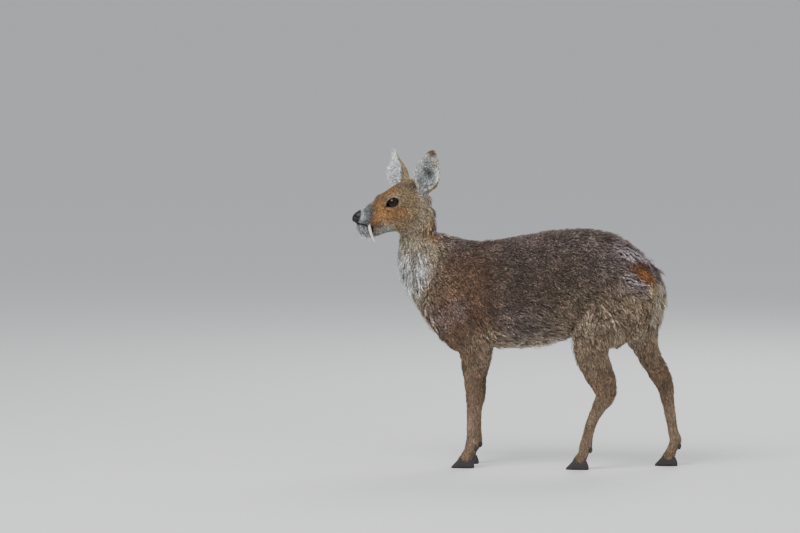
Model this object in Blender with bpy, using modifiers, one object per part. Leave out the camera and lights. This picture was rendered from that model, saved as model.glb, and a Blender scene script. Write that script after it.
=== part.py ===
"""Chinese water deer, an adult buck with tusks, standing with one hind leg back and its head turned.

Metres, +Z up. The floor is Z = 0, the head is towards -X and the animal's left side is towards -Y. Every outline
below takes in the coat, so the solids have the size that the live animal shows.
"""

import math
import random
from collections import namedtuple

import bmesh
import bpy
import numpy as np
from mathutils import Matrix, Vector
from mathutils.bvhtree import BVHTree

# Driving dimensions
GAP = 0.0003  # between nodes that touch
HEAD_TURN = math.radians(26)  # the head looks to the animal's left
HEAD_PIVOT = Vector((-0.204, -0.010, 0.0))  # where the head turns on the neck, seen from above
CENTRE_SHIFT = Vector((-0.0205, 0.0010, 0.0))  # puts the origin under the middle of the whole animal

EYE_RADIUS = 0.0142
EYE_PLACE = Vector((-0.0915, 0.0256, 0.6362))  # in the head's own frame, mirrored for the other side
EYE_FACES = Vector((-0.30, 0.94, 0.12)).normalized()
LID_HALF_LENGTH = 0.0140
LID_HALF_HEIGHT = 0.0098
LID_SLOPE = math.radians(20)  # the front corner is the lower one
LID_THICKNESS = 0.0022
LID_BALL = (1.25, 1.06, 0.94)  # the lids' ball as shares of its radius: along the opening, across it and outwards
TEAR_REACH = 0.0040  # how much further the front corner runs than the back one
CORNER_NARROWING = 0.35  # the share of its height that the opening loses at its corners
OPENING_RINGS = ((0.004, 0.86), (0.030, 1.0))  # how far out of the eye's middle, and the share of its size
OPENING_SIDES = 16

EAR_THICKNESS = 0.0040
EAR_THINNING = 0.65  # the share of its thickness that an ear loses up to its tip
EAR_COLUMNS = 8

# An ear in the head's own frame: the lower end of its opening, its length, the way that it points and where its cup
# opens. The left one is turned out and the right one looks ahead
Ear = namedtuple("Ear", "name length place way faces")
EARS = (
    Ear("ear_left", 0.1045, (-0.0210, -0.0400, 0.6596), (0.1350, -0.322, 1.0), (-0.48, -0.87, 0.0)),
    Ear("ear_right", 0.1005, (-0.0560, 0.0340, 0.6589), (0.0, 0.322, 1.0), (-0.998, -0.063, 0.0)),
)

# Across an ear, as a share of its length: how far it is set in to the head, the rolled leaf's radius, the depth of
# its cup, and half the angle that the leaf is rolled round
EarStation = namedtuple("EarStation", "along inset radius depth roll")
EAR_STATIONS = (
    EarStation(-0.140, 0.0180, 0.0130, 0.0240, 140),
    EarStation(0.000, 0.0060, 0.0150, 0.0270, 138),
    EarStation(0.080, 0.0015, 0.0190, 0.0290, 124),
    EarStation(0.170, 0.0000, 0.0256, 0.0300, 108),
    EarStation(0.270, 0.0000, 0.0294, 0.0300, 96),
    EarStation(0.370, 0.0000, 0.0314, 0.0285, 88),
    EarStation(0.470, 0.0000, 0.0318, 0.0265, 81),
    EarStation(0.580, 0.0000, 0.0297, 0.0222, 74),
    EarStation(0.690, 0.0000, 0.0258, 0.0160, 66),
    EarStation(0.800, 0.0000, 0.0225, 0.0100, 58),
    EarStation(0.890, 0.0000, 0.0186, 0.0058, 52),
    EarStation(0.960, 0.0000, 0.0128, 0.0030, 47),
    EarStation(1.000, 0.0000, 0.0062, 0.0014, 44),
)

# The tusk's middle line from inside the lip down to its tip, as (x, side, z, radius) in the head's own frame
TUSK_FLATNESS = (1.18, 0.85)  # the shares of its radius fore and aft, and to the sides
TUSK = (
    (-0.1485, 0.0150, 0.5880, 0.0027),
    (-0.1478, 0.0175, 0.5790, 0.0028),
    (-0.1462, 0.0196, 0.5690, 0.0027),
    (-0.1434, 0.0208, 0.5595, 0.0023),
    (-0.1396, 0.0212, 0.5505, 0.0018),
    (-0.1350, 0.0208, 0.5430, 0.0009),
)

# Hollows of each nostril in the nose pad, as (place, radii)
NOSTRIL = (
    ((-0.1800, 0.0075, 0.6025), (0.0052, 0.0030, 0.0038)),
    ((-0.1745, 0.0125, 0.6010), (0.0066, 0.0034, 0.0018)),
)
NOSTRIL_TURN = math.radians(24)  # towards the outside

MOUTH_RADIUS = 0.0014  # of the groove between the lips
MOUTH_CORNER = -0.134
MOUTH_HEIGHTS = ((-0.185, 0.586), (-0.170, 0.5835), (-0.161, 0.578), (-0.149, 0.575), (-0.134, 0.571))
MUZZLE_MIDDLE = -0.142  # the groove runs round this point, seen from above
MOUTH_HALF_TURN = math.radians(150)  # how far round the muzzle it is looked for, to each side
MOUTH_STEPS = 22
MOUTH_SEEN_FROM = 0.08  # how far out it is looked for

HOOF_HEIGHT = 0.024
CLAW_HALF_WIDTH = 0.0072
CLAW_SPREAD = 0.0082
# Along a claw from its heel to its toe: how far in front of or behind the foot's middle, its height, and its half
# width as a share of the widest
CLAW_PROFILE = (
    (0.0200, 0.0120, 0.60),
    (0.0170, 0.0190, 0.85),
    (0.0080, 0.0240, 1.00),
    (-0.0060, 0.0285, 1.00),
    (-0.0180, 0.0175, 0.86),
    (-0.0270, 0.0080, 0.62),
    (-0.0310, 0.0040, 0.36),
)

BODY_VOXEL = 0.0065
LEG_VOXEL = 0.0042
HEAD_VOXEL = 0.0034
BODY_ROUNDS = 12  # how many times each fine mesh is smoothed
LEG_ROUNDS = 9
HEAD_ROUNDS = 3
BODY_SHARE = 0.105  # the share of the faces that each fine mesh keeps
LEG_SHARE = 0.043
HEAD_SHARE = 0.044
RING_SIDES = 28
DOME_SHOULDER = (0.72, 0.66)  # a dome's shoulder, as shares of the end's size and of the dome's height
SHARP_EDGE = math.radians(40)  # edges that turn further than this stay sharp

# A section of a form: its top and bottom points as (x, z), its half width, how far it sits from the mid-plane, how
# far it is turned about the vertical, and how much wider it is below its middle than above
Section = namedtuple("Section", "top bottom half_width side turn pear", defaults=(0.0, 0.0, 0.0))

# A point on a limb's middle line, with the limb's half depth fore and aft, and its half width
Girth = namedtuple("Girth", "x z side half_depth half_width")

TORSO = (
    Section((-0.196, 0.500), (-0.205, 0.372), 0.040),
    Section((-0.176, 0.545), (-0.188, 0.338), 0.056),
    Section((-0.142, 0.553), (-0.152, 0.306), 0.068, pear=0.06),
    Section((-0.100, 0.543), (-0.104, 0.290), 0.078, pear=0.08),
    Section((-0.040, 0.545), (-0.042, 0.286), 0.088, pear=0.12),
    Section((0.030, 0.556), (0.028, 0.289), 0.095, pear=0.14),
    Section((0.090, 0.567), (0.088, 0.297), 0.097, pear=0.12),
    Section((0.140, 0.572), (0.142, 0.314), 0.094, pear=0.08),
    Section((0.200, 0.571), (0.205, 0.334), 0.088),
    Section((0.255, 0.557), (0.262, 0.346), 0.082, pear=-0.04),
    Section((0.300, 0.526), (0.300, 0.350), 0.072, pear=-0.04),
    Section((0.331, 0.490), (0.328, 0.350), 0.058),
    Section((0.352, 0.450), (0.347, 0.352), 0.042),
    Section((0.363, 0.418), (0.357, 0.372), 0.022),
)

NECK = (
    Section((-0.212, 0.640), (-0.250, 0.640), 0.026, -0.016, HEAD_TURN),
    Section((-0.186, 0.618), (-0.262, 0.606), 0.034, -0.016, HEAD_TURN),
    Section((-0.180, 0.588), (-0.268, 0.570), 0.039, -0.014, HEAD_TURN),
    Section((-0.180, 0.566), (-0.268, 0.535), 0.044, -0.010, 0.6 * HEAD_TURN),
    Section((-0.170, 0.560), (-0.266, 0.492), 0.050, -0.006, 0.3 * HEAD_TURN),
    Section((-0.150, 0.550), (-0.258, 0.446), 0.057, -0.002),
    Section((-0.128, 0.520), (-0.240, 0.408), 0.063),
    Section((-0.110, 0.470), (-0.214, 0.368), 0.064),
    Section((-0.090, 0.420), (-0.182, 0.328), 0.058),
)

# The head's own frame looks along -X before the head is turned, with its pivot at the origin
SKULL = (
    Section((-0.178, 0.608), (-0.174, 0.586), 0.0100),
    Section((-0.171, 0.615), (-0.166, 0.581), 0.0150),
    Section((-0.158, 0.624), (-0.150, 0.577), 0.0185),
    Section((-0.143, 0.633), (-0.134, 0.574), 0.0215),
    Section((-0.125, 0.645), (-0.115, 0.572), 0.0250, pear=0.05),
    Section((-0.109, 0.657), (-0.098, 0.571), 0.0305),
    Section((-0.091, 0.668), (-0.081, 0.569), 0.0365),
    Section((-0.070, 0.680), (-0.063, 0.567), 0.0410, pear=0.05),
    Section((-0.048, 0.688), (-0.046, 0.565), 0.0415, pear=0.05),
    Section((-0.026, 0.691), (-0.033, 0.566), 0.0390),
    Section((-0.006, 0.676), (-0.022, 0.580), 0.0330),
    Section((0.004, 0.655), (-0.014, 0.600), 0.0240),
)

JAW = (
    Section((-0.1745, 0.582), (-0.170, 0.569), 0.0080),
    Section((-0.168, 0.583), (-0.163, 0.559), 0.0125),
    Section((-0.151, 0.580), (-0.148, 0.553), 0.0150),
    Section((-0.130, 0.578), (-0.126, 0.555), 0.0175),
    Section((-0.105, 0.580), (-0.104, 0.562), 0.0215),
    Section((-0.080, 0.584), (-0.080, 0.566), 0.0255),
    Section((-0.062, 0.588), (-0.062, 0.569), 0.0255),
)

NOSE = (
    Section((-0.1610, 0.6155), (-0.1590, 0.5900), 0.0100),
    Section((-0.1670, 0.6165), (-0.1650, 0.5870), 0.0135),
    Section((-0.1735, 0.6145), (-0.1715, 0.5850), 0.0145),
    Section((-0.1790, 0.6100), (-0.1770, 0.5870), 0.0125),
    Section((-0.1828, 0.6045), (-0.1812, 0.5920), 0.0080),
)

# Swellings of the head as (place, radii), on both sides
HEAD_FORMS = (
    ((-0.062, 0.0205, 0.592), (0.038, 0.0160, 0.030)),  # the cheek's chewing muscle
    ((-0.094, 0.0180, 0.648), (0.026, 0.0125, 0.012)),  # the brow over the eye
    ((-0.097, 0.0210, 0.6345), (0.027, 0.0160, 0.0220)),  # the rim of bone round the eye
    ((-0.122, 0.0140, 0.616), (0.030, 0.0110, 0.018)),  # the side of the nose bone
    ((-0.149, 0.0110, 0.588), (0.020, 0.0085, 0.012)),  # the lip over the tusk's root
    ((-0.026, 0.0200, 0.656), (0.022, 0.0125, 0.018)),  # the ear's root
)

FORELEG = (
    Girth(-0.122, 0.505, 0.030, 0.036, 0.024),
    Girth(-0.142, 0.450, 0.048, 0.054, 0.030),
    Girth(-0.150, 0.395, 0.052, 0.060, 0.032),
    Girth(-0.120, 0.340, 0.050, 0.052, 0.032),
    Girth(-0.090, 0.300, 0.048, 0.041, 0.028),
    Girth(-0.084, 0.268, 0.047, 0.033, 0.024),
    Girth(-0.085, 0.236, 0.046, 0.027, 0.021),
    Girth(-0.085, 0.200, 0.046, 0.021, 0.0180),
    Girth(-0.084, 0.168, 0.046, 0.0185, 0.0165),
    Girth(-0.087, 0.140, 0.046, 0.0145, 0.0130),
    Girth(-0.088, 0.105, 0.046, 0.0128, 0.0118),
    Girth(-0.088, 0.076, 0.046, 0.0130, 0.0124),
    Girth(-0.089, 0.056, 0.046, 0.0150, 0.0142),
    Girth(-0.096, 0.038, 0.046, 0.0132, 0.0140),
    Girth(-0.105, 0.020, 0.046, 0.0150, 0.0150),
)
FAR_FORELEG_BACK = 0.003  # the right foreleg stands this much further back

HIND_LEG_FORWARD = (
    Girth(0.285, 0.475, 0.034, 0.062, 0.036),
    Girth(0.274, 0.432, 0.044, 0.082, 0.040),
    Girth(0.256, 0.390, 0.050, 0.088, 0.041),
    Girth(0.225, 0.350, 0.054, 0.070, 0.038),
    Girth(0.201, 0.315, 0.056, 0.055, 0.034),
    Girth(0.200, 0.276, 0.056, 0.042, 0.028),
    Girth(0.213, 0.240, 0.055, 0.0365, 0.0235),
    Girth(0.227, 0.208, 0.054, 0.0320, 0.0195),
    Girth(0.231, 0.182, 0.053, 0.0265, 0.0180),
    Girth(0.2185, 0.153, 0.052, 0.0180, 0.0150),
    Girth(0.203, 0.122, 0.051, 0.0142, 0.0130),
    Girth(0.192, 0.088, 0.050, 0.0132, 0.0125),
    Girth(0.186, 0.060, 0.050, 0.0150, 0.0145),
    Girth(0.180, 0.040, 0.050, 0.0132, 0.0140),
    Girth(0.170, 0.020, 0.050, 0.0150, 0.0150),
)

HIND_LEG_BACK = (
    Girth(0.292, 0.470, 0.034, 0.058, 0.036),
    Girth(0.297, 0.430, 0.044, 0.069, 0.040),
    Girth(0.301, 0.388, 0.050, 0.068, 0.041),
    Girth(0.306, 0.346, 0.054, 0.053, 0.038),
    Girth(0.315, 0.304, 0.056, 0.038, 0.031),
    Girth(0.332, 0.262, 0.056, 0.0275, 0.0250),
    Girth(0.352, 0.226, 0.055, 0.0255, 0.0215),
    Girth(0.367, 0.195, 0.054, 0.0215, 0.0185),
    Girth(0.374, 0.162, 0.053, 0.0160, 0.0152),
    Girth(0.381, 0.125, 0.051, 0.0140, 0.0130),
    Girth(0.388, 0.088, 0.050, 0.0130, 0.0123),
    Girth(0.393, 0.060, 0.050, 0.0148, 0.0145),
    Girth(0.386, 0.040, 0.050, 0.0130, 0.0140),
    Girth(0.377, 0.020, 0.050, 0.0150, 0.0150),
)

TAIL = (
    Girth(0.290, 0.500, 0.003, 0.010, 0.013),
    Girth(0.308, 0.497, 0.003, 0.012, 0.017),
    Girth(0.327, 0.482, 0.003, 0.013, 0.019),
    Girth(0.342, 0.461, 0.003, 0.012, 0.018),
    Girth(0.351, 0.440, 0.003, 0.009, 0.013),
    Girth(0.355, 0.427, 0.003, 0.005, 0.007),
)

# Small horn buds behind each fetlock, as (behind the middle line, to each side of it, height) and radii
DEWCLAW_PLACE = (0.0110, 0.0080, 0.050)
DEWCLAW_RADII = (0.0052, 0.0040, 0.0084)

# Locks of the longer coat. A patch is a box on the surface with how many locks it holds, the way that they lie, their
# length, width and thickness, how far their middles stand off the surface and how far their tips turn up
Patch = namedtuple("Patch", "node low high seen_from count way length width thickness lift curl")
PATCHES = (
    Patch("barrel", (-0.026, -0.060, 0.42), (0.094, 0.060, 0.42), (0, 0, -1), 16, (0.90, 0.0, -0.42),
          0.040, 0.0100, 0.0036, 0.0030, 0.004),
    Patch("chest", (-0.190, -0.050, 0.336), (-0.190, 0.050, 0.368), (-1, 0, -0.4), 8, (0.35, 0.0, -0.90),
          0.038, 0.0095, 0.0034, 0.0020, 0.002),
    Patch("neck", (-0.240, -0.040, 0.474), (-0.240, 0.036, 0.548), (-1, 0, -0.1), 14, (0.15, 0.0, -0.98),
          0.036, 0.0090, 0.0034, 0.0018, 0.002),
    Patch("neck", (-0.150, -0.045, 0.592), (-0.150, 0.022, 0.626), (1, 0, 0.2), 5, (0.25, 0.0, -0.95),
          0.026, 0.0090, 0.0032, 0.0018, 0.0015),
    Patch("rump", (0.268, -0.060, 0.46), (0.326, -0.028, 0.46), (0, -0.5, 1), 10, (0.75, -0.10, -0.60),
          0.036, 0.0095, 0.0034, 0.0034, 0.006),
    Patch("rump", (0.268, 0.030, 0.46), (0.326, 0.060, 0.46), (0, 0.5, 1), 5, (0.75, 0.10, -0.60),
          0.036, 0.0095, 0.0034, 0.0034, 0.006),
    Patch("tail", (0.310, -0.018, 0.440), (0.345, 0.020, 0.495), (1, 0, 0.6), 12, (0.55, 0.0, -0.80),
          0.036, 0.0085, 0.0032, 0.0034, 0.005),
    Patch("hind_left_thigh", (0.28, -0.078, 0.332), (0.28, -0.052, 0.370), (1, -0.3, 0), 6, (0.20, 0.0, -0.95),
          0.034, 0.0095, 0.0032, 0.0028, 0.005),
    Patch("hind_right_thigh", (0.28, 0.052, 0.332), (0.28, 0.078, 0.370), (1, 0.3, 0), 6, (0.20, 0.0, -0.95),
          0.034, 0.0095, 0.0032, 0.0028, 0.005),
)
LOCK_ROOT = 0.0070  # how deep a lock starts under the surface
LOCK_RINGS = ((0.0, 0.80), (0.22, 1.0), (0.52, 0.92), (0.80, 0.52))  # how far along, and the share of its girth
LOCK_SEED = 7
LOCK_SETBACK = 0.18  # the share of its length by which a lock starts behind its place

# The planes that part the nodes, as (point, normal towards the first-named node), in the part's own frame
NECK_FROM_TORSO = (Vector((-0.160, 0.0, 0.570)), Vector((-0.919, 0.0, 0.394)))
HEAD_FROM_NECK = (Vector((-0.065, 0.0, 0.557)), Vector((-0.684, 0.0, 0.729)))  # in the head's own frame
CHEST_FROM_BARREL = -0.046  # planes across the trunk
BARREL_FROM_RUMP = 0.178
THIGH_FROM_GASKIN = 0.302
CARPUS_HEIGHT = 0.172
HOCK_HEIGHT_FORWARD = 0.196
HOCK_HEIGHT_BACK = 0.190

# A leg's region below the trunk: its fore and aft limits at its top and the slope of its front, then the inner and
# outer points of its slanting roof as (side, z)
LegRegion = namedtuple("LegRegion", "front back front_lean inner outer")
FORELEG_REGION = LegRegion(-0.190, -0.044, 0.0, (0.006, 0.296), (0.130, 0.372))
HIND_REGION_FORWARD = LegRegion(0.187, 0.430, 0.36, (0.003, 0.338), (0.130, 0.462))
REGION_DEPTH = 0.05  # how far a leg's region reaches under the floor
HIND_REGION_BACK = LegRegion(0.215, 0.430, 0.30, (0.003, 0.338), (0.130, 0.462))

COLOURS = {
    "coat_body": ((0.150, 0.098, 0.068), 0.90),
    "coat_head": ((0.330, 0.170, 0.075), 0.90),
    "coat_leg": ((0.240, 0.130, 0.070), 0.90),
    "ear_coat": ((0.360, 0.280, 0.200), 0.90),
    "nose_skin": ((0.012, 0.012, 0.014), 0.35),
    "eye": ((0.010, 0.008, 0.007), 0.05),
    "tusk_ivory": ((0.780, 0.720, 0.600), 0.35),
    "hoof_horn": ((0.030, 0.025, 0.022), 0.45),
}


def material(name):
    """The named material, made once."""
    found = bpy.data.materials.get(name)
    if found:
        return found
    colour, roughness = COLOURS[name]
    made = bpy.data.materials.new(name)
    made.use_nodes = True
    shader = made.node_tree.nodes["Principled BSDF"]
    shader.inputs["Base Color"].default_value = (*colour, 1.0)
    shader.inputs["Roughness"].default_value = roughness
    shader.inputs["Metallic"].default_value = 0.0
    return made


def clear_scene():
    for thing in list(bpy.data.objects):
        bpy.data.objects.remove(thing, do_unlink=True)


def add_object(name, mesh, collection):
    made = bpy.data.objects.new(name, mesh)
    collection.objects.link(made)
    return made


def object_from_bmesh(name, bm, collection):
    mesh = bpy.data.meshes.new(name)
    bmesh.ops.recalc_face_normals(bm, faces=bm.faces)
    bm.to_mesh(mesh)
    bm.free()
    return add_object(name, mesh, collection)


def settle(obj):
    """Applies an object's modifiers."""
    graph = bpy.context.evaluated_depsgraph_get()
    mesh = bpy.data.meshes.new_from_object(obj.evaluated_get(graph))
    obj.modifiers.clear()
    old = obj.data
    obj.data = mesh
    bpy.data.meshes.remove(old)
    return obj


def duplicate(obj, name, collection):
    return add_object(name, obj.data.copy(), collection)


def boolean(obj, other, operation):
    """Joins or cuts obj with another closed mesh object, and applies it."""
    modifier = obj.modifiers.new(operation, "BOOLEAN")
    modifier.operation = operation
    modifier.solver = "MANIFOLD"
    modifier.object = other
    return settle(obj)


def grown(obj, distance, collection):
    """A cutter with obj's shape, its faces moved out by distance."""
    made = duplicate(obj, obj.name + "_cutter", collection)
    modifier = made.modifiers.new("grow", "DISPLACE")
    modifier.strength = distance
    modifier.mid_level = 0.0
    settle(made)
    made.hide_render = True
    made.display_type = "WIRE"
    return made


def cut_clear(obj, other, scratch):
    """Cuts obj back from another node, with the usual gap."""
    cutter = grown(other, GAP, scratch)
    boolean(obj, cutter, "DIFFERENCE")
    bpy.data.objects.remove(cutter)
    return keep_largest(obj)


def keep_largest(obj):
    """Keeps an object's largest closed surface."""
    bm = bmesh.new()
    bm.from_mesh(obj.data)
    left = set(bm.verts)
    shells = []
    while left:
        shell = set()
        front = [left.pop()]
        while front:
            vert = front.pop()
            shell.add(vert)
            for edge in vert.link_edges:
                other = edge.other_vert(vert)
                if other in left:
                    left.remove(other)
                    front.append(other)
        shells.append(shell)
    shells.sort(key=len)
    for shell in shells[:-1]:
        bmesh.ops.delete(bm, geom=list(shell), context="VERTS")
    bm.to_mesh(obj.data)
    bm.free()
    return obj


def keep_side(obj, point, normal):
    """Cuts obj half the gap back from a plane, keeps what lies on the normal's side and closes the cut."""
    normal = normal.normalized()
    bm = bmesh.new()
    bm.from_mesh(obj.data)
    geometry = bm.verts[:] + bm.edges[:] + bm.faces[:]
    plane = point + normal * GAP / 2
    bmesh.ops.bisect_plane(bm, geom=geometry, dist=1e-6, plane_co=plane, plane_no=normal, clear_inner=True)
    bmesh.ops.delete(bm, geom=[e for e in bm.edges if e.is_wire], context="EDGES")
    rim = [e for e in bm.edges if e.is_boundary]
    bmesh.ops.triangle_fill(bm, edges=rim, use_beauty=True, normal=-normal)
    bmesh.ops.triangulate(bm, faces=bm.faces)
    bmesh.ops.recalc_face_normals(bm, faces=bm.faces)
    bm.to_mesh(obj.data)
    bm.free()
    return keep_largest(obj)


def smooth_rows(rows, per_span):
    """Rows of numbers on a smooth curve through the given rows, per_span of them for each span."""
    rows = np.array(rows, float)
    steps = np.linalg.norm(np.diff(rows[:, :4], axis=0), axis=1)
    places = np.concatenate([[0.0], np.cumsum(steps)])
    slopes = np.gradient(rows, places, axis=0)
    made = []
    for start in range(len(rows) - 1):
        span = places[start + 1] - places[start]
        for step in range(per_span):
            t = step / per_span
            made.append(
                (2 * t**3 - 3 * t**2 + 1) * rows[start]
                + (t**3 - 2 * t**2 + t) * span * slopes[start]
                + (3 * t**2 - 2 * t**3) * rows[start + 1]
                + (t**3 - t**2) * span * slopes[start + 1]
            )
    made.append(rows[-1])
    return np.array(made)


def section_row(section):
    return [*section.top, *section.bottom, section.half_width, section.side, section.turn, section.pear]


def girth_rows(girths, side_sign):
    """A limb's girths as rows of section(), each square to the limb's middle line."""
    rows = smooth_rows([[g.x, g.z, g.half_depth, g.half_width, g.side] for g in girths], 3)
    along = np.gradient(rows[:, :2], axis=0)
    along /= np.linalg.norm(along, axis=1)[:, None]
    made = []
    for (x, z, depth, width, side), (dx, dz) in zip(rows, along):
        ends = [x - dz * depth, z + dx * depth, x + dz * depth, z - dx * depth]
        made.append([*ends, width, side * side_sign, 0.0, 0.0])
    return np.array(made)


def ring(row, sides):
    """The points round one section."""
    top_x, top_z, bottom_x, bottom_z, half_width, side, turn, pear = row
    centre = Vector(((top_x + bottom_x) / 2, side, (top_z + bottom_z) / 2))
    up = Vector(((top_x - bottom_x) / 2, 0.0, (top_z - bottom_z) / 2))
    turned = Matrix.Rotation(turn, 3, "Z")
    points = []
    for k in range(sides):
        angle = 2 * math.pi * k / sides
        across = half_width * math.sin(angle) * (1 - pear * math.cos(angle))
        points.append(centre + turned @ (up * math.cos(angle) + Vector((0.0, across, 0.0))))
    return points


def loft(bm, rows, sides=RING_SIDES, dome=0.45):
    """Adds a closed form through the sections to bm, with a dome on each end."""
    rings = [[bm.verts.new(p) for p in ring(row, sides)] for row in rows]
    for one, two in zip(rings, rings[1:]):
        for k in range(sides):
            bm.faces.new((one[k], one[(k + 1) % sides], two[(k + 1) % sides], two[k]))
    for end, inner in ((rings[0], rings[1]), (rings[-1], rings[-2])):
        middle = sum((v.co for v in end), Vector()) / sides
        before = sum((v.co for v in inner), Vector()) / sides
        reach = sum((v.co - middle).length for v in end) / sides
        way = (middle - before).normalized()
        size, height = DOME_SHOULDER
        raised = middle + way * reach * dome * height
        shoulder = [bm.verts.new(raised + (v.co - middle) * size) for v in end]
        for k in range(sides):
            bm.faces.new((end[k], end[(k + 1) % sides], shoulder[(k + 1) % sides], shoulder[k]))
        pole = bm.verts.new(middle + way * reach * dome)
        for k in range(sides):
            bm.faces.new((shoulder[k], shoulder[(k + 1) % sides], pole))


def sections_loft(bm, sections, per_span=3, **more):
    loft(bm, smooth_rows([section_row(s) for s in sections], per_span), **more)


def limb_loft(bm, girths, side_sign, **more):
    loft(bm, girth_rows(girths, side_sign), **more)


def ellipsoid(bm, place, radii, rings=12, sides=20):
    matrix = Matrix.Translation(Vector(place)) @ Matrix.Diagonal((*radii, 1.0))
    bmesh.ops.create_uvsphere(bm, u_segments=sides, v_segments=rings, radius=1.0, matrix=matrix)


def both_sides(place):
    """A place given on the right, towards +Y, and its mirror on the left."""
    x, y, z = place
    return ((x, y, z), (x, -y, z))


HEAD_FRAME = Matrix.Translation(HEAD_PIVOT) @ Matrix.Rotation(HEAD_TURN, 4, "Z")


def to_head(place):
    """A place or direction in the head's own frame, with its direction left alone."""
    return HEAD_FRAME @ Vector(place)


def head_direction(way):
    return (HEAD_FRAME.to_3x3() @ Vector(way)).normalized()


def moved(girths, shift):
    return [girth._replace(x=girth.x + shift) for girth in girths]


LEGS = {
    "fore_left": (FORELEG, -1, FORELEG_REGION, CARPUS_HEIGHT),
    "fore_right": (moved(FORELEG, FAR_FORELEG_BACK), 1, FORELEG_REGION, CARPUS_HEIGHT),
    "hind_left": (HIND_LEG_FORWARD, -1, HIND_REGION_FORWARD, HOCK_HEIGHT_FORWARD),
    "hind_right": (HIND_LEG_BACK, 1, HIND_REGION_BACK, HOCK_HEIGHT_BACK),
}


def add_trunk(bm):
    sections_loft(bm, TORSO)
    sections_loft(bm, NECK)


def add_legs(bm):
    for girths, side_sign, _, _ in LEGS.values():
        limb_loft(bm, girths, side_sign)
        fetlock = min(girths, key=lambda girth: abs(girth.z - DEWCLAW_PLACE[2] - 0.008))
        behind, beside, height = DEWCLAW_PLACE
        for offset in (-beside, beside):
            place = (fetlock.x + behind, fetlock.side * side_sign + offset, height)
            ellipsoid(bm, place, DEWCLAW_RADII)


def add_head(bm):
    """The skull, jaw and swellings, turned with the head."""
    before = set(bm.verts)
    sections_loft(bm, SKULL)
    sections_loft(bm, JAW)
    for place, radii in HEAD_FORMS:
        for side in both_sides(place):
            ellipsoid(bm, side, radii)
    bmesh.ops.transform(bm, matrix=HEAD_FRAME, verts=[v for v in bm.verts if v not in before])


def relax(mesh, rounds, forward=0.55, backward=-0.57):
    """Smooths a mesh where its forms join, in steps out and back that keep its volume."""
    count = len(mesh.vertices)
    places = np.empty(count * 3)
    mesh.vertices.foreach_get("co", places)
    places = places.reshape(-1, 3)
    edges = np.empty(len(mesh.edges) * 2, int)
    mesh.edges.foreach_get("vertices", edges)
    edges = edges.reshape(-1, 2)
    linked = np.bincount(edges.ravel(), minlength=count)[:, None]
    for _ in range(rounds):
        for share in (forward, backward):
            total = np.zeros_like(places)
            for axis in range(3):
                total[:, axis] = np.bincount(edges[:, 0], places[edges[:, 1], axis], count)
                total[:, axis] += np.bincount(edges[:, 1], places[edges[:, 0], axis], count)
            places = places + share * (total / linked - places)
    mesh.vertices.foreach_set("co", places.ravel())
    mesh.update()


def fused(name, forms, voxel, rounds, share, collection):
    """One closed skin round several overlapping forms, smoothed and brought down to few faces."""
    bm = bmesh.new()
    for form in forms:
        form(bm)
    obj = object_from_bmesh(name, bm, collection)
    remesh = obj.modifiers.new("skin", "REMESH")
    remesh.mode = "VOXEL"
    remesh.voxel_size = voxel
    settle(obj)
    relax(obj.data, rounds)
    decimate = obj.modifiers.new("fewer", "DECIMATE")
    decimate.ratio = share
    decimate.use_collapse_triangulate = True
    return settle(obj)


def leg_region(name, region, side_sign, grow, collection):
    """The space that holds a leg below its slanting roof, grown by a distance."""
    (inner_side, inner_z), (outer_side, outer_z) = region.inner, region.outer
    slope = math.atan2(outer_z - inner_z, outer_side - inner_side)
    rise = grow / math.cos(slope)
    floor = -REGION_DEPTH
    bm = bmesh.new()
    for side, z in ((inner_side, inner_z), (outer_side, outer_z)):
        side_out = side - grow if side == inner_side else side
        for level in (z + rise, floor):
            lean = region.front_lean * (level - outer_z)
            for x in (region.front - grow + lean, region.back):
                bm.verts.new((x, side_out * side_sign, level))
    bmesh.ops.convex_hull(bm, input=bm.verts)
    return object_from_bmesh(name, bm, collection)


def build_trunk(parts, scratch):
    """The neck and the trunk in three lengths, parted by planes, with a pocket in the trunk for each leg."""
    whole = fused("trunk", (add_trunk, add_legs, add_head), BODY_VOXEL, BODY_ROUNDS, BODY_SHARE, scratch)
    point, normal = NECK_FROM_TORSO
    head_point, head_normal = HEAD_FROM_NECK
    torso = duplicate(whole, "torso", parts)
    neck = duplicate(whole, "neck", parts)
    keep_side(neck, to_head(head_point), -head_direction(head_normal))
    keep_side(neck, point, normal)
    keep_side(torso, point, -normal)
    for name, (_, side_sign, region, _) in LEGS.items():
        pocket = leg_region(name + "_pocket", region, side_sign, GAP, scratch)
        boolean(torso, pocket, "DIFFERENCE")
        bpy.data.objects.remove(pocket)
    bpy.data.objects.remove(whole)
    lengths = {"neck": neck}
    for name, front, back in (
        ("chest", None, CHEST_FROM_BARREL),
        ("barrel", CHEST_FROM_BARREL, BARREL_FROM_RUMP),
        ("rump", BARREL_FROM_RUMP, None),
    ):
        length = duplicate(torso, name, parts)
        if front is not None:
            keep_side(length, Vector((front, 0.0, 0.0)), Vector((1.0, 0.0, 0.0)))
        if back is not None:
            keep_side(length, Vector((back, 0.0, 0.0)), Vector((-1.0, 0.0, 0.0)))
        lengths[name] = length
    bpy.data.objects.remove(torso)
    for name, length in lengths.items():
        length.data.materials.append(material("coat_head" if name == "neck" else "coat_body"))
    return lengths


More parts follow.
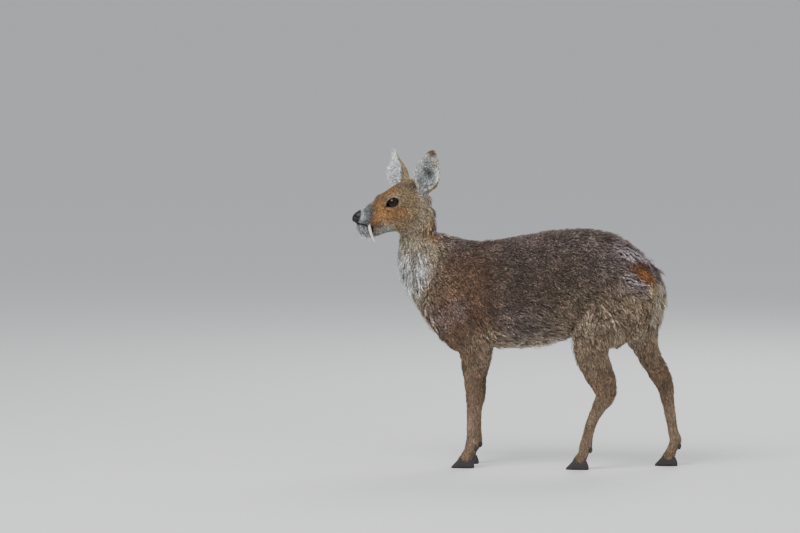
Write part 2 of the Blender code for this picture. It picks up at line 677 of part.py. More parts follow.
def build_legs(parts, scratch):
    """Each leg in an upper and a lower length, parted at the carpus or hock."""
    whole = fused("legs", (add_trunk, add_legs), LEG_VOXEL, LEG_ROUNDS, LEG_SHARE, scratch)
    made = {}
    for name, (_, side_sign, region, joint_height) in LEGS.items():
        room = leg_region(name + "_room", region, side_sign, 0.0, scratch)
        upper = boolean(duplicate(whole, name + "_upper", parts), room, "INTERSECT")
        bpy.data.objects.remove(room)
        keep_largest(upper)
        lower = duplicate(upper, name + "_lower", parts)
        joint = Vector((0.0, 0.0, joint_height))
        keep_side(upper, joint, Vector((0.0, 0.0, 1.0)))
        keep_side(lower, joint, Vector((0.0, 0.0, -1.0)))
        keep_side(lower, Vector((0.0, 0.0, HOOF_HEIGHT)), Vector((0.0, 0.0, 1.0)))
        pieces = [upper, lower]
        if name.startswith("hind"):
            gaskin = duplicate(upper, name + "_gaskin", parts)
            upper.name = name + "_thigh"
            bend = Vector((0.0, 0.0, THIGH_FROM_GASKIN))
            keep_side(upper, bend, Vector((0.0, 0.0, 1.0)))
            keep_side(gaskin, bend, Vector((0.0, 0.0, -1.0)))
            pieces.append(gaskin)
        for piece in pieces:
            piece.data.materials.append(material("coat_leg"))
            made[piece.name] = piece
    bpy.data.objects.remove(whole)
    return made


def build_head(parts, scratch):
    head = fused("head", (add_trunk, add_head), HEAD_VOXEL, HEAD_ROUNDS, HEAD_SHARE, scratch)
    scratch.objects.unlink(head)
    parts.objects.link(head)
    point, normal = HEAD_FROM_NECK
    keep_side(head, to_head(point), head_direction(normal))
    head.data.materials.append(material("coat_head"))
    return head


def grown_shape(name, shape, distance, scratch):
    """A cutter made by shape(bm, distance), for a form that can draw itself larger."""
    bm = bmesh.new()
    shape(bm, distance)
    cutter = object_from_bmesh(name + "_cutter", bm, scratch)
    cutter.hide_render = True
    cutter.display_type = "WIRE"
    return cutter


def cut_with(obj, shape, distance, scratch):
    cutter = grown_shape(obj.name, shape, distance, scratch)
    boolean(obj, cutter, "DIFFERENCE")
    bpy.data.objects.remove(cutter)
    return keep_largest(obj)


def eye_shape(side_sign):
    """A function that draws the eyeball on one side, larger by a distance."""
    place = to_head(EYE_PLACE * Vector((1, side_sign, 1)))

    def draw(bm, distance):
        bmesh.ops.create_icosphere(
            bm, subdivisions=3, radius=EYE_RADIUS + distance, matrix=Matrix.Translation(place)
        )

    return draw


def tusk_shape(side_sign):
    """A function that draws the tusk on one side, larger by a distance."""

    def draw(bm, distance):
        rings = []
        sides = 8
        rows = np.array(TUSK)
        ways = np.gradient(rows[:, :3], axis=0)
        for (x, side, z, radius), way in zip(rows.tolist(), ways):
            way = Vector(way).normalized()
            fore = Vector((1.0, 0.0, 0.0)).cross(way).cross(way).normalized()
            out = way.cross(fore)
            ring_points = []
            for k in range(sides):
                angle = 2 * math.pi * k / sides
                reach = fore * (TUSK_FLATNESS[0] * math.cos(angle)) + out * (TUSK_FLATNESS[1] * math.sin(angle))
                point = Vector((x, side, z)) + reach * (radius + distance)
                point.y *= side_sign
                ring_points.append(bm.verts.new(to_head(point)))
            rings.append(ring_points)
        for one, two in zip(rings, rings[1:]):
            for k in range(sides):
                bm.faces.new((one[k], one[(k + 1) % sides], two[(k + 1) % sides], two[k]))
        for end in (rings[0], rings[-1]):
            bm.faces.new(end)

    return draw


def nose_shape(bm, distance):
    rows = smooth_rows([section_row(s) for s in NOSE], 2)
    rows[:, 1] += distance
    rows[:, 3] -= distance
    rows[:, 4] += distance
    rows[:, 0] += np.linspace(distance, -distance, len(rows))
    rows[:, 2] += np.linspace(distance, -distance, len(rows))
    before = set(bm.verts)
    loft(bm, rows, sides=14, dome=0.25)
    bmesh.ops.transform(bm, matrix=HEAD_FRAME, verts=[v for v in bm.verts if v not in before])


def build_ear(form, parts):
    """A leaf rolled into a cup, open to the front."""
    place, way, faces = (Vector(value) for value in (form.place, form.way, form.faces))
    way.normalize()
    faces = (faces - way * faces.dot(way)).normalized()
    across = way.cross(faces)
    inwards = Vector((0.0, -math.copysign(1.0, place.y), 0.0))
    bm = bmesh.new()
    rings = []
    for station in EAR_STATIONS:
        middle = place + way * station.along * form.length + inwards * station.inset
        half = EAR_THICKNESS * (1 - EAR_THINNING * max(station.along, 0.0)) / 2
        roll = math.radians(station.roll)
        deep = station.depth / (1 - math.cos(roll))
        back, front = [], []
        for k in range(EAR_COLUMNS + 1):
            turn = roll * (2 * k / EAR_COLUMNS - 1)
            leaf = across * station.radius * math.sin(turn) + faces * deep * (math.cos(roll) - math.cos(turn))
            out = (across * deep * math.sin(turn) - faces * station.radius * math.cos(turn)).normalized()
            edge = k in (0, EAR_COLUMNS)
            back.append(middle + leaf + out * (0.0 if edge else half))
            if not edge:
                front.append(middle + leaf - out * half)
        rings.append([bm.verts.new(to_head(p)) for p in back + front[::-1]])
    sides = len(rings[0])
    for one, two in zip(rings, rings[1:]):
        for k in range(sides):
            bm.faces.new((one[k], one[(k + 1) % sides], two[(k + 1) % sides], two[k]))
    for end in (rings[0], rings[-1]):
        for k in range(EAR_COLUMNS):
            corners = [end[k], end[k + 1], end[(sides - k - 1) % sides], end[(sides - k) % sides]]
            bm.faces.new(list(dict.fromkeys(corners)))
    bmesh.ops.triangulate(bm, faces=bm.faces)
    ear = object_from_bmesh(form.name, bm, parts)
    ear.data.materials.append(material("ear_coat"))
    return ear


def eye_axes(side_sign):
    """The directions out of the eye, along its opening to the front corner, and across the opening, upwards."""
    out = head_direction(EYE_FACES * Vector((1, side_sign, 1)))
    front = head_direction((-math.cos(LID_SLOPE), 0.0, -math.sin(LID_SLOPE)))
    front = (front - out * front.dot(out)).normalized()
    up = front.cross(out) * side_sign
    return out, front, up if up.z > 0 else -up


def lids_shape(side_sign):
    """A function that draws the ball that the lids are cut from."""
    place = to_head(EYE_PLACE * Vector((1, side_sign, 1)))
    out, front, up = eye_axes(side_sign)

    def draw(bm, distance):
        reach = EYE_RADIUS + LID_THICKNESS + distance
        turn = Matrix((front, up, out)).transposed().to_4x4()
        matrix = Matrix.Translation(place) @ turn @ Matrix.Diagonal((*(reach * share for share in LID_BALL), 1.0))
        bmesh.ops.create_uvsphere(bm, u_segments=18, v_segments=12, radius=1.0, matrix=matrix)

    return draw


def opening_shape(side_sign):
    """A function that draws the almond-shaped prism that opens the lids."""
    place = to_head(EYE_PLACE * Vector((1, side_sign, 1)))
    out, front, up = eye_axes(side_sign)
    sides = OPENING_SIDES

    def draw(bm, distance):
        rings = []
        for depth, spread in OPENING_RINGS:
            ring_points = []
            for k in range(sides):
                angle = 2 * math.pi * k / sides
                along = math.cos(angle) * LID_HALF_LENGTH + max(math.cos(angle), 0.0) ** 4 * TEAR_REACH
                height = math.sin(angle) * LID_HALF_HEIGHT * (1 - CORNER_NARROWING * abs(math.cos(angle)) ** 3)
                point = place + out * depth + front * along * spread + up * height * spread
                ring_points.append(bm.verts.new(point))
            rings.append(ring_points)
        one, two = rings
        for k in range(sides):
            bm.faces.new((one[k], one[(k + 1) % sides], two[(k + 1) % sides], two[k]))
        bm.faces.new(one)
        bm.faces.new(two)

    return draw


def tube(bm, points, radii, sides=6):
    """Adds a round tube along the points to bm, closed at both ends."""
    rings = []
    for place, (point, radius) in enumerate(zip(points, radii)):
        way = (points[min(place + 1, len(points) - 1)] - points[max(place - 1, 0)]).normalized()
        first = way.orthogonal().normalized() if not rings else (first - way * first.dot(way)).normalized()
        second = way.cross(first)
        around = [2 * math.pi * k / sides for k in range(sides)]
        rings.append([bm.verts.new(point + (first * math.cos(a) + second * math.sin(a)) * radius) for a in around])
    for one, two in zip(rings, rings[1:]):
        for k in range(sides):
            bm.faces.new((one[k], one[(k + 1) % sides], two[(k + 1) % sides], two[k]))
    bm.faces.new(rings[0])
    bm.faces.new(rings[-1])


def mouth_shape(head):
    """A function that draws the groove between the lips, on the surface of the head."""
    surface = surface_of(head)

    def draw(bm, distance):
        points, radii = [], []
        for step in range(MOUTH_STEPS + 1):
            angle = MOUTH_HALF_TURN * (2 * step / MOUTH_STEPS - 1)
            out = Vector((-math.cos(angle), math.sin(angle), 0.0))
            height = MOUTH_HEIGHTS[-1][1]
            for _ in range(3):
                start = to_head(Vector((MUZZLE_MIDDLE, 0.0, height)) + out * MOUTH_SEEN_FROM)
                hit = surface.ray_cast(start, -head_direction(out))[0]
                if hit is None:
                    break
                local = HEAD_FRAME.inverted() @ hit
                height = float(np.interp(local.x, *zip(*MOUTH_HEIGHTS)))
            if hit is None or local.x > MOUTH_CORNER:
                continue
            points.append(hit)
            radii.append(MOUTH_RADIUS + distance)
        tube(bm, points, radii)

    return draw


def nostril_shape(side_sign, place, radii):
    """A function that draws one hollow of a nostril."""

    def draw(bm, distance):
        matrix = HEAD_FRAME @ Matrix.Translation(Vector(place) * Vector((1, side_sign, 1)))
        matrix = matrix @ Matrix.Rotation(-side_sign * NOSTRIL_TURN, 4, "Z") @ Matrix.Diagonal((*radii, 1.0))
        bmesh.ops.create_uvsphere(bm, u_segments=8, v_segments=6, radius=1.0, matrix=matrix)

    return draw


def surface_of(obj):
    return BVHTree.FromPolygons([v.co for v in obj.data.vertices], [p.vertices for p in obj.data.polygons])


def lock_shape(bm, lock, distance):
    """Adds one tapered, bending lock to bm, larger by a distance: flat rings along its length and a point."""
    patch, root, normal, way, length, width, sway = lock
    across = normal.cross(way)
    rings = []
    for t, girth in LOCK_RINGS:
        height = -LOCK_ROOT * (1 - t) ** 2 + patch.lift * math.sin(math.pi * min(t * 1.1, 1.0)) + patch.curl * t**3
        middle = root + way * length * (t - LOCK_SETBACK) + normal * height + across * sway * t * t
        spread = across * (width / 2 * girth + distance)
        rise = normal * (patch.thickness / 2 * girth + distance)
        rings.append([bm.verts.new(middle + p) for p in (spread, rise, -spread, -rise)])
    tip = root + way * (length * (1 - LOCK_SETBACK) + distance) + normal * (patch.curl + 0.0006) + across * sway
    tip = bm.verts.new(tip)
    for one, two in zip(rings, rings[1:]):
        for k in range(4):
            bm.faces.new((one[k], one[(k + 1) % 4], two[(k + 1) % 4], two[k]))
    for k in range(4):
        bm.faces.new((rings[-1][k], rings[-1][(k + 1) % 4], tip))
    bm.faces.new(rings[0])


def patch_locks(patch, surface, chance):
    """A patch's locks, with their roots spread evenly over the patch by golden steps."""
    seen_from = Vector(patch.seen_from).normalized()
    golden = (math.sqrt(5) - 1) / 2
    spans = [(axis, low, high) for axis, (low, high) in enumerate(zip(patch.low, patch.high)) if low != high]
    spans.sort(key=lambda span: span[1] - span[2])
    locks = []
    for k in range(patch.count):
        place = list(patch.low)
        for (axis, low, high), share in zip(spans, ((k + 0.5) / patch.count, (k * golden) % 1.0)):
            place[axis] = low + (high - low) * share
        way = Vector(patch.way) + Vector([chance.uniform(-0.12, 0.12) for _ in range(3)])
        length = patch.length * chance.uniform(0.8, 1.2)
        width = patch.width * chance.uniform(0.85, 1.15)
        sway = chance.uniform(-0.20, 0.20) * length
        root, normal, _, _ = surface.ray_cast(Vector(place) + seen_from * 0.4, -seen_from)
        if root is not None:
            way = (way - normal * way.dot(normal)).normalized()
            locks.append((patch, root, normal, way, length, width, sway))
    return locks


def boolean_bundle(node, locks, distance, operation, scratch):
    """Joins locks to a node, or cuts them from it, by one Boolean on a collection."""
    bundle = bpy.data.collections.new("locks")
    scratch.children.link(bundle)
    for lock in locks:
        bm = bmesh.new()
        lock_shape(bm, lock, distance)
        object_from_bmesh("lock", bm, bundle)
    modifier = node.modifiers.new("locks", "BOOLEAN")
    modifier.operation = operation
    modifier.operand_type = "COLLECTION"
    modifier.solver = "MANIFOLD"
    modifier.collection = bundle
    settle(node)
    for lock in list(bundle.objects):
        bpy.data.objects.remove(lock)
    bpy.data.collections.remove(bundle)
    keep_largest(node)


def add_locks(nodes, scratch):
    """Grows every patch of locks on its node. The rump is cut clear of the locks that hang from the tail."""
    chance = random.Random(LOCK_SEED)
    for name in sorted({patch.node for patch in PATCHES}):
        surface = surface_of(nodes[name])
        locks = [lock for patch in PATCHES if patch.node == name for lock in patch_locks(patch, surface, chance)]
        boolean_bundle(nodes[name], locks, 0.0, "UNION", scratch)
        if name == "tail":
            boolean_bundle(nodes["rump"], locks, GAP, "DIFFERENCE", scratch)


def build_face(head, parts, scratch):
    """Ears, eyes, tusks and nose, each fitted to the head with the usual gap."""
    for form in EARS:
        cut_clear(build_ear(form, parts), head, scratch)
    cut_with(head, nose_shape, GAP, scratch)
    fittings = [("nose", nose_shape, "nose_skin")]
    for side_sign, side in ((-1, "left"), (1, "right")):
        fittings.append((f"eye_{side}", eye_shape(side_sign), "eye"))
        fittings.append((f"tusk_{side}", tusk_shape(side_sign), "tusk_ivory"))
    for side_sign in (-1, 1):
        lids = grown_shape("lids", lids_shape(side_sign), 0.0, scratch)
        boolean(head, lids, "UNION")
        bpy.data.objects.remove(lids)
        cut_with(head, opening_shape(side_sign), 0.0, scratch)
    for _, shape, _ in fittings[1:]:
        cut_with(head, shape, GAP, scratch)
    cut_with(head, mouth_shape(head), 0.0, scratch)
    for name, shape, colour in fittings:
        bm = bmesh.new()
        shape(bm, 0.0)
        made = object_from_bmesh(name, bm, parts)
        made.data.materials.append(material(colour))
    nose = parts.objects["nose"]
    for side_sign in (-1, 1):
        for place, radii in NOSTRIL:
            cut_with(nose, nostril_shape(side_sign, place, radii), 0.0, scratch)


def build_tail(rump, parts, scratch):
    def draw(bm, distance):
        rows = girth_rows([g._replace(half_width=g.half_width + distance) for g in TAIL], 1)
        middles = (rows[:, 0:2] + rows[:, 2:4]) / 2
        for first in (0, 2):
            away = rows[:, first:first + 2] - middles
            away *= 1 + distance / np.linalg.norm(away, axis=1)[:, None]
            rows[:, first:first + 2] = middles + away
        loft(bm, rows[::2], sides=14, dome=0.4 + distance * 20)

    cut_with(rump, draw, GAP, scratch)
    bm = bmesh.new()
    draw(bm, 0.0)
    tail = object_from_bmesh("tail", bm, parts)
    tail.data.materials.append(material("coat_body"))
    return tail


def build_claws(parts):
    """Two claws to each foot, flat underneath."""
    claws = []
    for name, (girths, side_sign, _, _) in LEGS.items():
        foot = girths[-1]
        for place, offset in (("inner", -CLAW_SPREAD), ("outer", CLAW_SPREAD)):
            side = (foot.side + offset) * side_sign
            bm = bmesh.new()
            rows = []
            for reach, height, half_width in CLAW_PROFILE:
                x = foot.x + reach
                rows.append([x, height, x, -height, CLAW_HALF_WIDTH * half_width, side, 0.0, 0.0])
            loft(bm, np.array(rows), sides=10, dome=0.3)
            claw = object_from_bmesh(f"{name}_claw_{place}", bm, parts)
            claw.data.materials.append(material("hoof_horn"))
            keep_side(claw, Vector((0.0, 0.0, -GAP / 2)), Vector((0.0, 0.0, 1.0)))
            keep_side(claw, Vector((0.0, 0.0, HOOF_HEIGHT)), Vector((0.0, 0.0, -1.0)))
            claws.append(claw)
    return claws


def finish(parts):
    """Moves every part so that the origin lies under the animal's middle, and shades its round faces smooth."""
    for obj in parts.objects:
        obj.data.transform(Matrix.Translation(CENTRE_SHIFT))
        obj.data.shade_smooth()
        obj.data.set_sharp_from_angle(angle=SHARP_EDGE)


def build():
    clear_scene()
    scene = bpy.context.scene.collection
    parts = bpy.data.collections.new("chinese_water_deer")
    scratch = bpy.data.collections.new("cutters")
    scene.children.link(parts)
    scene.children.link(scratch)
    nodes = build_trunk(parts, scratch)
    nodes.update(build_legs(parts, scratch))
    head = build_head(parts, scratch)
    build_face(head, parts, scratch)
    nodes["tail"] = build_tail(nodes["rump"], parts, scratch)
    build_claws(parts)
    add_locks(nodes, scratch)
    finish(parts)


build()
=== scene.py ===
"""Looks of the chinese water deer: one skin, a coat of overlapping tufts, eyes, tusks, hooves, and a plain studio.

The frame holds the solids in metres, +Z up, with the head towards -X and the animal's left side towards -Y. The
sections below are those of the solids, so the skin is the same animal with more detail, inside them by the depth of
its coat. Sections, girths, zones and lock rows are in millimetres, and all else is in metres.
"""

import logging
import math
from dataclasses import dataclass, field
from enum import Enum
from typing import Callable, Iterable, Sequence

import bmesh
import bpy
import numpy as np
from bpy.types import Material, Mesh, Node, NodeSocket, NodeTree, Object
from mathutils import Matrix, Vector
from mathutils.bvhtree import BVHTree
from mathutils.kdtree import KDTree


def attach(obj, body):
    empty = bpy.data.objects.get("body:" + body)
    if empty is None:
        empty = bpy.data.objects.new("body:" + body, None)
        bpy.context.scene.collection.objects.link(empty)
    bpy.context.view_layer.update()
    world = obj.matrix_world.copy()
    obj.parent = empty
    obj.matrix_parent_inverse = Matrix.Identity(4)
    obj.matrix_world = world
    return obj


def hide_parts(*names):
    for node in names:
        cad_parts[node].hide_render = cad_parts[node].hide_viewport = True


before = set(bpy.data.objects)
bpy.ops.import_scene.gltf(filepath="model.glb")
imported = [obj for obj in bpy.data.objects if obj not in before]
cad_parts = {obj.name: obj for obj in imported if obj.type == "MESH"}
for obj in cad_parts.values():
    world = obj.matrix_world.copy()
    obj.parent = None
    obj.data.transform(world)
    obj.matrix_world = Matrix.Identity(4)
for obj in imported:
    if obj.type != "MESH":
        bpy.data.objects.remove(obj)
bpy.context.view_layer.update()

Array = np.ndarray
Triple = tuple[float, float, float]

LOG = logging.getLogger("deer")
ROOT = "root"
SEED = 23
TUFTS = (120000, 8500)  # on the body and on each ear
BAKE_MAP = "OFBake"
COAT_ATTRIBUTE = "coat_colour"
NOSE_ATTRIBUTE = "bare_nose"
LID_TONE = (0.02, 0.014, 0.012)
NOSE_TONE = (0.012, 0.011, 0.011)

HEAD_TURN = math.radians(26)
HEAD_PIVOT = Vector((-0.204, -0.01, 0.0))
CENTRE_SHIFT = Vector((-0.0205, 0.001, 0.0))
HEAD_PLANE = (Vector((-0.065, 0.0, 0.557)), Vector((-0.684, 0.0, 0.729)))

FLESH = (
    "chest", "barrel", "rump", "neck", "head", "tail", "nose",
    "fore_left_upper", "fore_left_lower", "fore_right_upper", "fore_right_lower",
    "hind_left_thigh", "hind_left_gaskin", "hind_left_lower",
    "hind_right_thigh", "hind_right_gaskin", "hind_right_lower",
)


class Side(Enum):
    """The animal's own sides, as the sign of Y."""

    LEFT = -1
    RIGHT = 1


@dataclass(frozen=True)
class Section:
    """A cross-section of a form: its top and bottom as (x, z), and how it is set."""

    top: tuple[float, float]
    bottom: tuple[float, float]
    half_width: float
    side: float = 0.0
    turn: float = 0.0
    pear: float = 0.0

    def row(self) -> list[float]:
        """Gives the section in metres, as one row of numbers."""
        sizes = (*self.top, *self.bottom, self.half_width, self.side)
        return [size / 1000 for size in sizes] + [self.turn, self.pear]


@dataclass(frozen=True)
class Girth:
    """A point on a limb's middle line, with its half depth fore and aft and its half width."""

    x: float
    z: float
    side: float
    half_depth: float
    half_width: float

    def row(self, back: float) -> list[float]:
        """Gives the girth in metres, moved back by so many millimetres."""
        return [size / 1000 for size in (self.x + back, self.z, self.half_depth, self.half_width, self.side)]


TORSO = (
    Section((-196, 500), (-205, 372), 40),
    Section((-176, 545), (-188, 338), 56),
    Section((-142, 553), (-152, 306), 68, pear=0.06),
    Section((-100, 543), (-104, 290), 78, pear=0.08),
    Section((-40, 545), (-42, 286), 88, pear=0.12),
    Section((30, 556), (28, 289), 95, pear=0.14),
    Section((90, 567), (88, 297), 97, pear=0.12),
    Section((140, 572), (142, 314), 94, pear=0.08),
    Section((200, 571), (205, 334), 88),
    Section((255, 557), (262, 346), 82, pear=-0.04),
    Section((300, 526), (300, 350), 72, pear=-0.04),
    Section((331, 490), (328, 350), 58),
    Section((352, 450), (347, 352), 42),
    Section((363, 418), (357, 372), 22),
)

NECK = (
    Section((-212, 640), (-250, 640), 26, -16, HEAD_TURN),
    Section((-186, 618), (-262, 606), 34, -16, HEAD_TURN),
    Section((-180, 588), (-268, 570), 39, -14, HEAD_TURN),
    Section((-180, 566), (-268, 535), 44, -10, 0.6 * HEAD_TURN),
    Section((-170, 560), (-266, 492), 50, -6, 0.3 * HEAD_TURN),
    Section((-150, 550), (-258, 446), 57, -2),
    Section((-128, 520), (-240, 408), 63),
    Section((-110, 470), (-214, 368), 64),
    Section((-90, 420), (-182, 328), 58),
)

SKULL = (
    Section((-178, 608), (-174, 586), 10),
    Section((-171, 615), (-166, 581), 15),
    Section((-158, 624), (-150, 577), 18.5),
    Section((-143, 633), (-134, 574), 21.5),
    Section((-125, 645), (-115, 572), 25, pear=0.05),
    Section((-109, 657), (-98, 571), 30.5),
    Section((-91, 668), (-81, 569), 36.5),
    Section((-70, 680), (-63, 567), 41, pear=0.05),
    Section((-48, 688), (-46, 565), 41.5, pear=0.05),
    Section((-26, 691), (-33, 566), 39),
    Section((-6, 676), (-22, 580), 33),
    Section((4, 655), (-14, 600), 24),
)

JAW = (
    Section((-174.5, 582), (-170, 569), 8),
    Section((-168, 583), (-163, 559), 12.5),
    Section((-151, 580), (-148, 553), 15),
    Section((-130, 578), (-126, 555), 17.5),
    Section((-105, 580), (-104, 562), 21.5),
    Section((-80, 584), (-80, 566), 25.5),
    Section((-62, 588), (-62, 569), 25.5),
)

NOSE = (
    Section((-161, 615.5), (-159, 590), 10),
    Section((-167, 616.5), (-165, 587), 13.5),
    Section((-173.5, 614.5), (-171.5, 585), 14.5),
    Section((-179, 610), (-177, 587), 12.5),
    Section((-182.8, 604.5), (-181.2, 592), 8),
)

HEAD_FORMS = (
    ((-0.062, 0.0205, 0.592), (0.038, 0.016, 0.03)),
    ((-0.094, 0.018, 0.648), (0.026, 0.0125, 0.012)),
    ((-0.097, 0.021, 0.6345), (0.027, 0.016, 0.022)),
    ((-0.122, 0.014, 0.616), (0.03, 0.011, 0.018)),
    ((-0.149, 0.011, 0.588), (0.02, 0.0085, 0.012)),
    ((-0.026, 0.02, 0.656), (0.022, 0.0125, 0.018)),
)

FORELEG = (
    Girth(-122, 505, 30, 36, 24),
    Girth(-142, 450, 48, 54, 30),
    Girth(-150, 395, 52, 60, 32),
    Girth(-120, 340, 50, 52, 32),
    Girth(-90, 300, 48, 41, 28),
    Girth(-84, 268, 47, 33, 24),
    Girth(-85, 236, 46, 27, 21),
    Girth(-85, 200, 46, 21, 18),
    Girth(-84, 168, 46, 18.5, 16.5),
    Girth(-87, 140, 46, 14.5, 13),
    Girth(-88, 105, 46, 12.8, 11.8),
    Girth(-88, 76, 46, 13, 12.4),
    Girth(-89, 56, 46, 15, 14.2),
    Girth(-96, 38, 46, 13.2, 14),
    Girth(-105, 20, 46, 15, 15),
)
FAR_FORELEG_BACK = 3

HIND_LEG_FORWARD = (
    Girth(285, 475, 34, 62, 36),
    Girth(274, 432, 44, 82, 40),
    Girth(256, 390, 50, 88, 41),
    Girth(225, 350, 54, 70, 38),
    Girth(201, 315, 56, 55, 34),
    Girth(200, 276, 56, 42, 28),
    Girth(213, 240, 55, 36.5, 23.5),
    Girth(227, 208, 54, 32, 19.5),
    Girth(231, 182, 53, 26.5, 18),
    Girth(218.5, 153, 52, 18, 15),
    Girth(203, 122, 51, 14.2, 13),
    Girth(192, 88, 50, 13.2, 12.5),
    Girth(186, 60, 50, 15, 14.5),
    Girth(180, 40, 50, 13.2, 14),
    Girth(170, 20, 50, 15, 15),
)

HIND_LEG_BACK = (
    Girth(292, 470, 34, 58, 36),
    Girth(297, 430, 44, 69, 40),
    Girth(301, 388, 50, 68, 41),
    Girth(306, 346, 54, 53, 38),
    Girth(315, 304, 56, 38, 31),
    Girth(332, 262, 56, 27.5, 25),
    Girth(352, 226, 55, 25.5, 21.5),
    Girth(367, 195, 54, 21.5, 18.5),
    Girth(374, 162, 53, 16, 15.2),
    Girth(381, 125, 51, 14, 13),
    Girth(388, 88, 50, 13, 12.3),
    Girth(393, 60, 50, 14.8, 14.5),
    Girth(386, 40, 50, 13, 14),
    Girth(377, 20, 50, 15, 15),
)

TAIL = (
    Girth(290, 500, 3, 10, 13),
    Girth(308, 497, 3, 12, 17),
    Girth(327, 482, 3, 13, 19),
    Girth(342, 461, 3, 12, 18),
    Girth(351, 440, 3, 9, 13),
    Girth(355, 427, 3, 5, 7),
)


@dataclass(frozen=True)
class Tone:
    """One colour of the coat: at a hair's root, along it and at its tip, and the share of hairs with pale tips."""

    root: Triple
    base: Triple
    tip: Triple
    fleck: float

    def row(self) -> list[float]:
        """Gives the tone as one row of numbers."""
        return [*self.root, *self.base, *self.tip, self.fleck]


class Tones(Enum):
    """The colours that the coat is made of."""

    DUSK = Tone((0.05, 0.038, 0.036), (0.16, 0.118, 0.106), (0.49, 0.395, 0.345), 0.42)
    AGOUTI = Tone((0.04, 0.029, 0.023), (0.1, 0.071, 0.053), (0.4, 0.305, 0.23), 0.42)
    CHESTNUT = Tone((0.055, 0.032, 0.022), (0.165, 0.088, 0.052), (0.41, 0.26, 0.16), 0.4)
    # lilac-grey hair, also used to paint a sheen of light on the top of the rump
    MAUVE = Tone((0.07, 0.05, 0.05), (0.255, 0.203, 0.203), (0.64, 0.555, 0.565), 0.6)
    TAN = Tone((0.085, 0.056, 0.036), (0.255, 0.182, 0.115), (0.61, 0.49, 0.345), 0.46)
    FAWN = Tone((0.12, 0.084, 0.054), (0.315, 0.238, 0.158), (0.66, 0.55, 0.41), 0.5)
    GOLD = Tone((0.085, 0.055, 0.03), (0.32, 0.228, 0.122), (0.65, 0.51, 0.315), 0.48)
    SAND = Tone((0.12, 0.09, 0.06), (0.43, 0.35, 0.245), (0.8, 0.71, 0.57), 0.55)
    CREAM = Tone((0.17, 0.135, 0.095), (0.5, 0.425, 0.32), (0.78, 0.7, 0.57), 0.6)
    BIB = Tone((0.1, 0.085, 0.066), (0.6, 0.6, 0.57), (0.95, 0.96, 0.94), 0.82)
    WHITE = Tone((0.26, 0.26, 0.24), (0.64, 0.65, 0.625), (0.9, 0.9, 0.875), 0.7)
    SNOW = Tone((0.48, 0.5, 0.5), (0.78, 0.81, 0.81), (0.95, 0.97, 0.96), 0.97)
    # blue-grey hair; on the chin it also stands for white hair in painted shade
    ASH = Tone((0.12, 0.128, 0.13), (0.29, 0.31, 0.315), (0.6, 0.63, 0.63), 0.6)
    # white hair darkened as painted shade, for the underside of the jaw
    CHIN = Tone((0.1, 0.102, 0.096), (0.215, 0.225, 0.205), (0.46, 0.475, 0.435), 0.5)
    GREY = Tone((0.04, 0.044, 0.047), (0.105, 0.118, 0.124), (0.33, 0.35, 0.35), 0.35)
    ORANGE = Tone((0.12, 0.056, 0.022), (0.32, 0.165, 0.06), (0.58, 0.37, 0.175), 0.38)
    MOULT = Tone((0.06, 0.02, 0.008), (0.23, 0.092, 0.022), (0.4, 0.205, 0.068), 0.4)
    RUFOUS = Tone((0.062, 0.038, 0.024), (0.205, 0.13, 0.078), (0.4, 0.29, 0.185), 0.42)
    SHANK = Tone((0.11, 0.074, 0.048), (0.285, 0.2, 0.128), (0.43, 0.322, 0.222), 0.6)
    HOCK = Tone((0.085, 0.054, 0.034), (0.232, 0.148, 0.088), (0.335, 0.235, 0.15), 0.55)
    DARK = Tone((0.012, 0.01, 0.009), (0.026, 0.02, 0.017), (0.06, 0.046, 0.036), 0.15)


@dataclass(frozen=True)
class Zone:
    """How the coat is at one place: which way it lies, how long, deep and wide its tufts are, and its tone."""

    place: Triple
    lie: Triple
    length: float
    depth: float
    width: float
    tone: Tones
    clump: float = 0.25
    reach: float = 45

    def row(self) -> list[float]:
        """Gives everything but the place and reach as one row of numbers, in metres."""
        sizes = [size / 1000 for size in (self.length, self.depth, self.width)]
        return [*self.lie, *sizes, self.clump, *self.tone.value.row()]


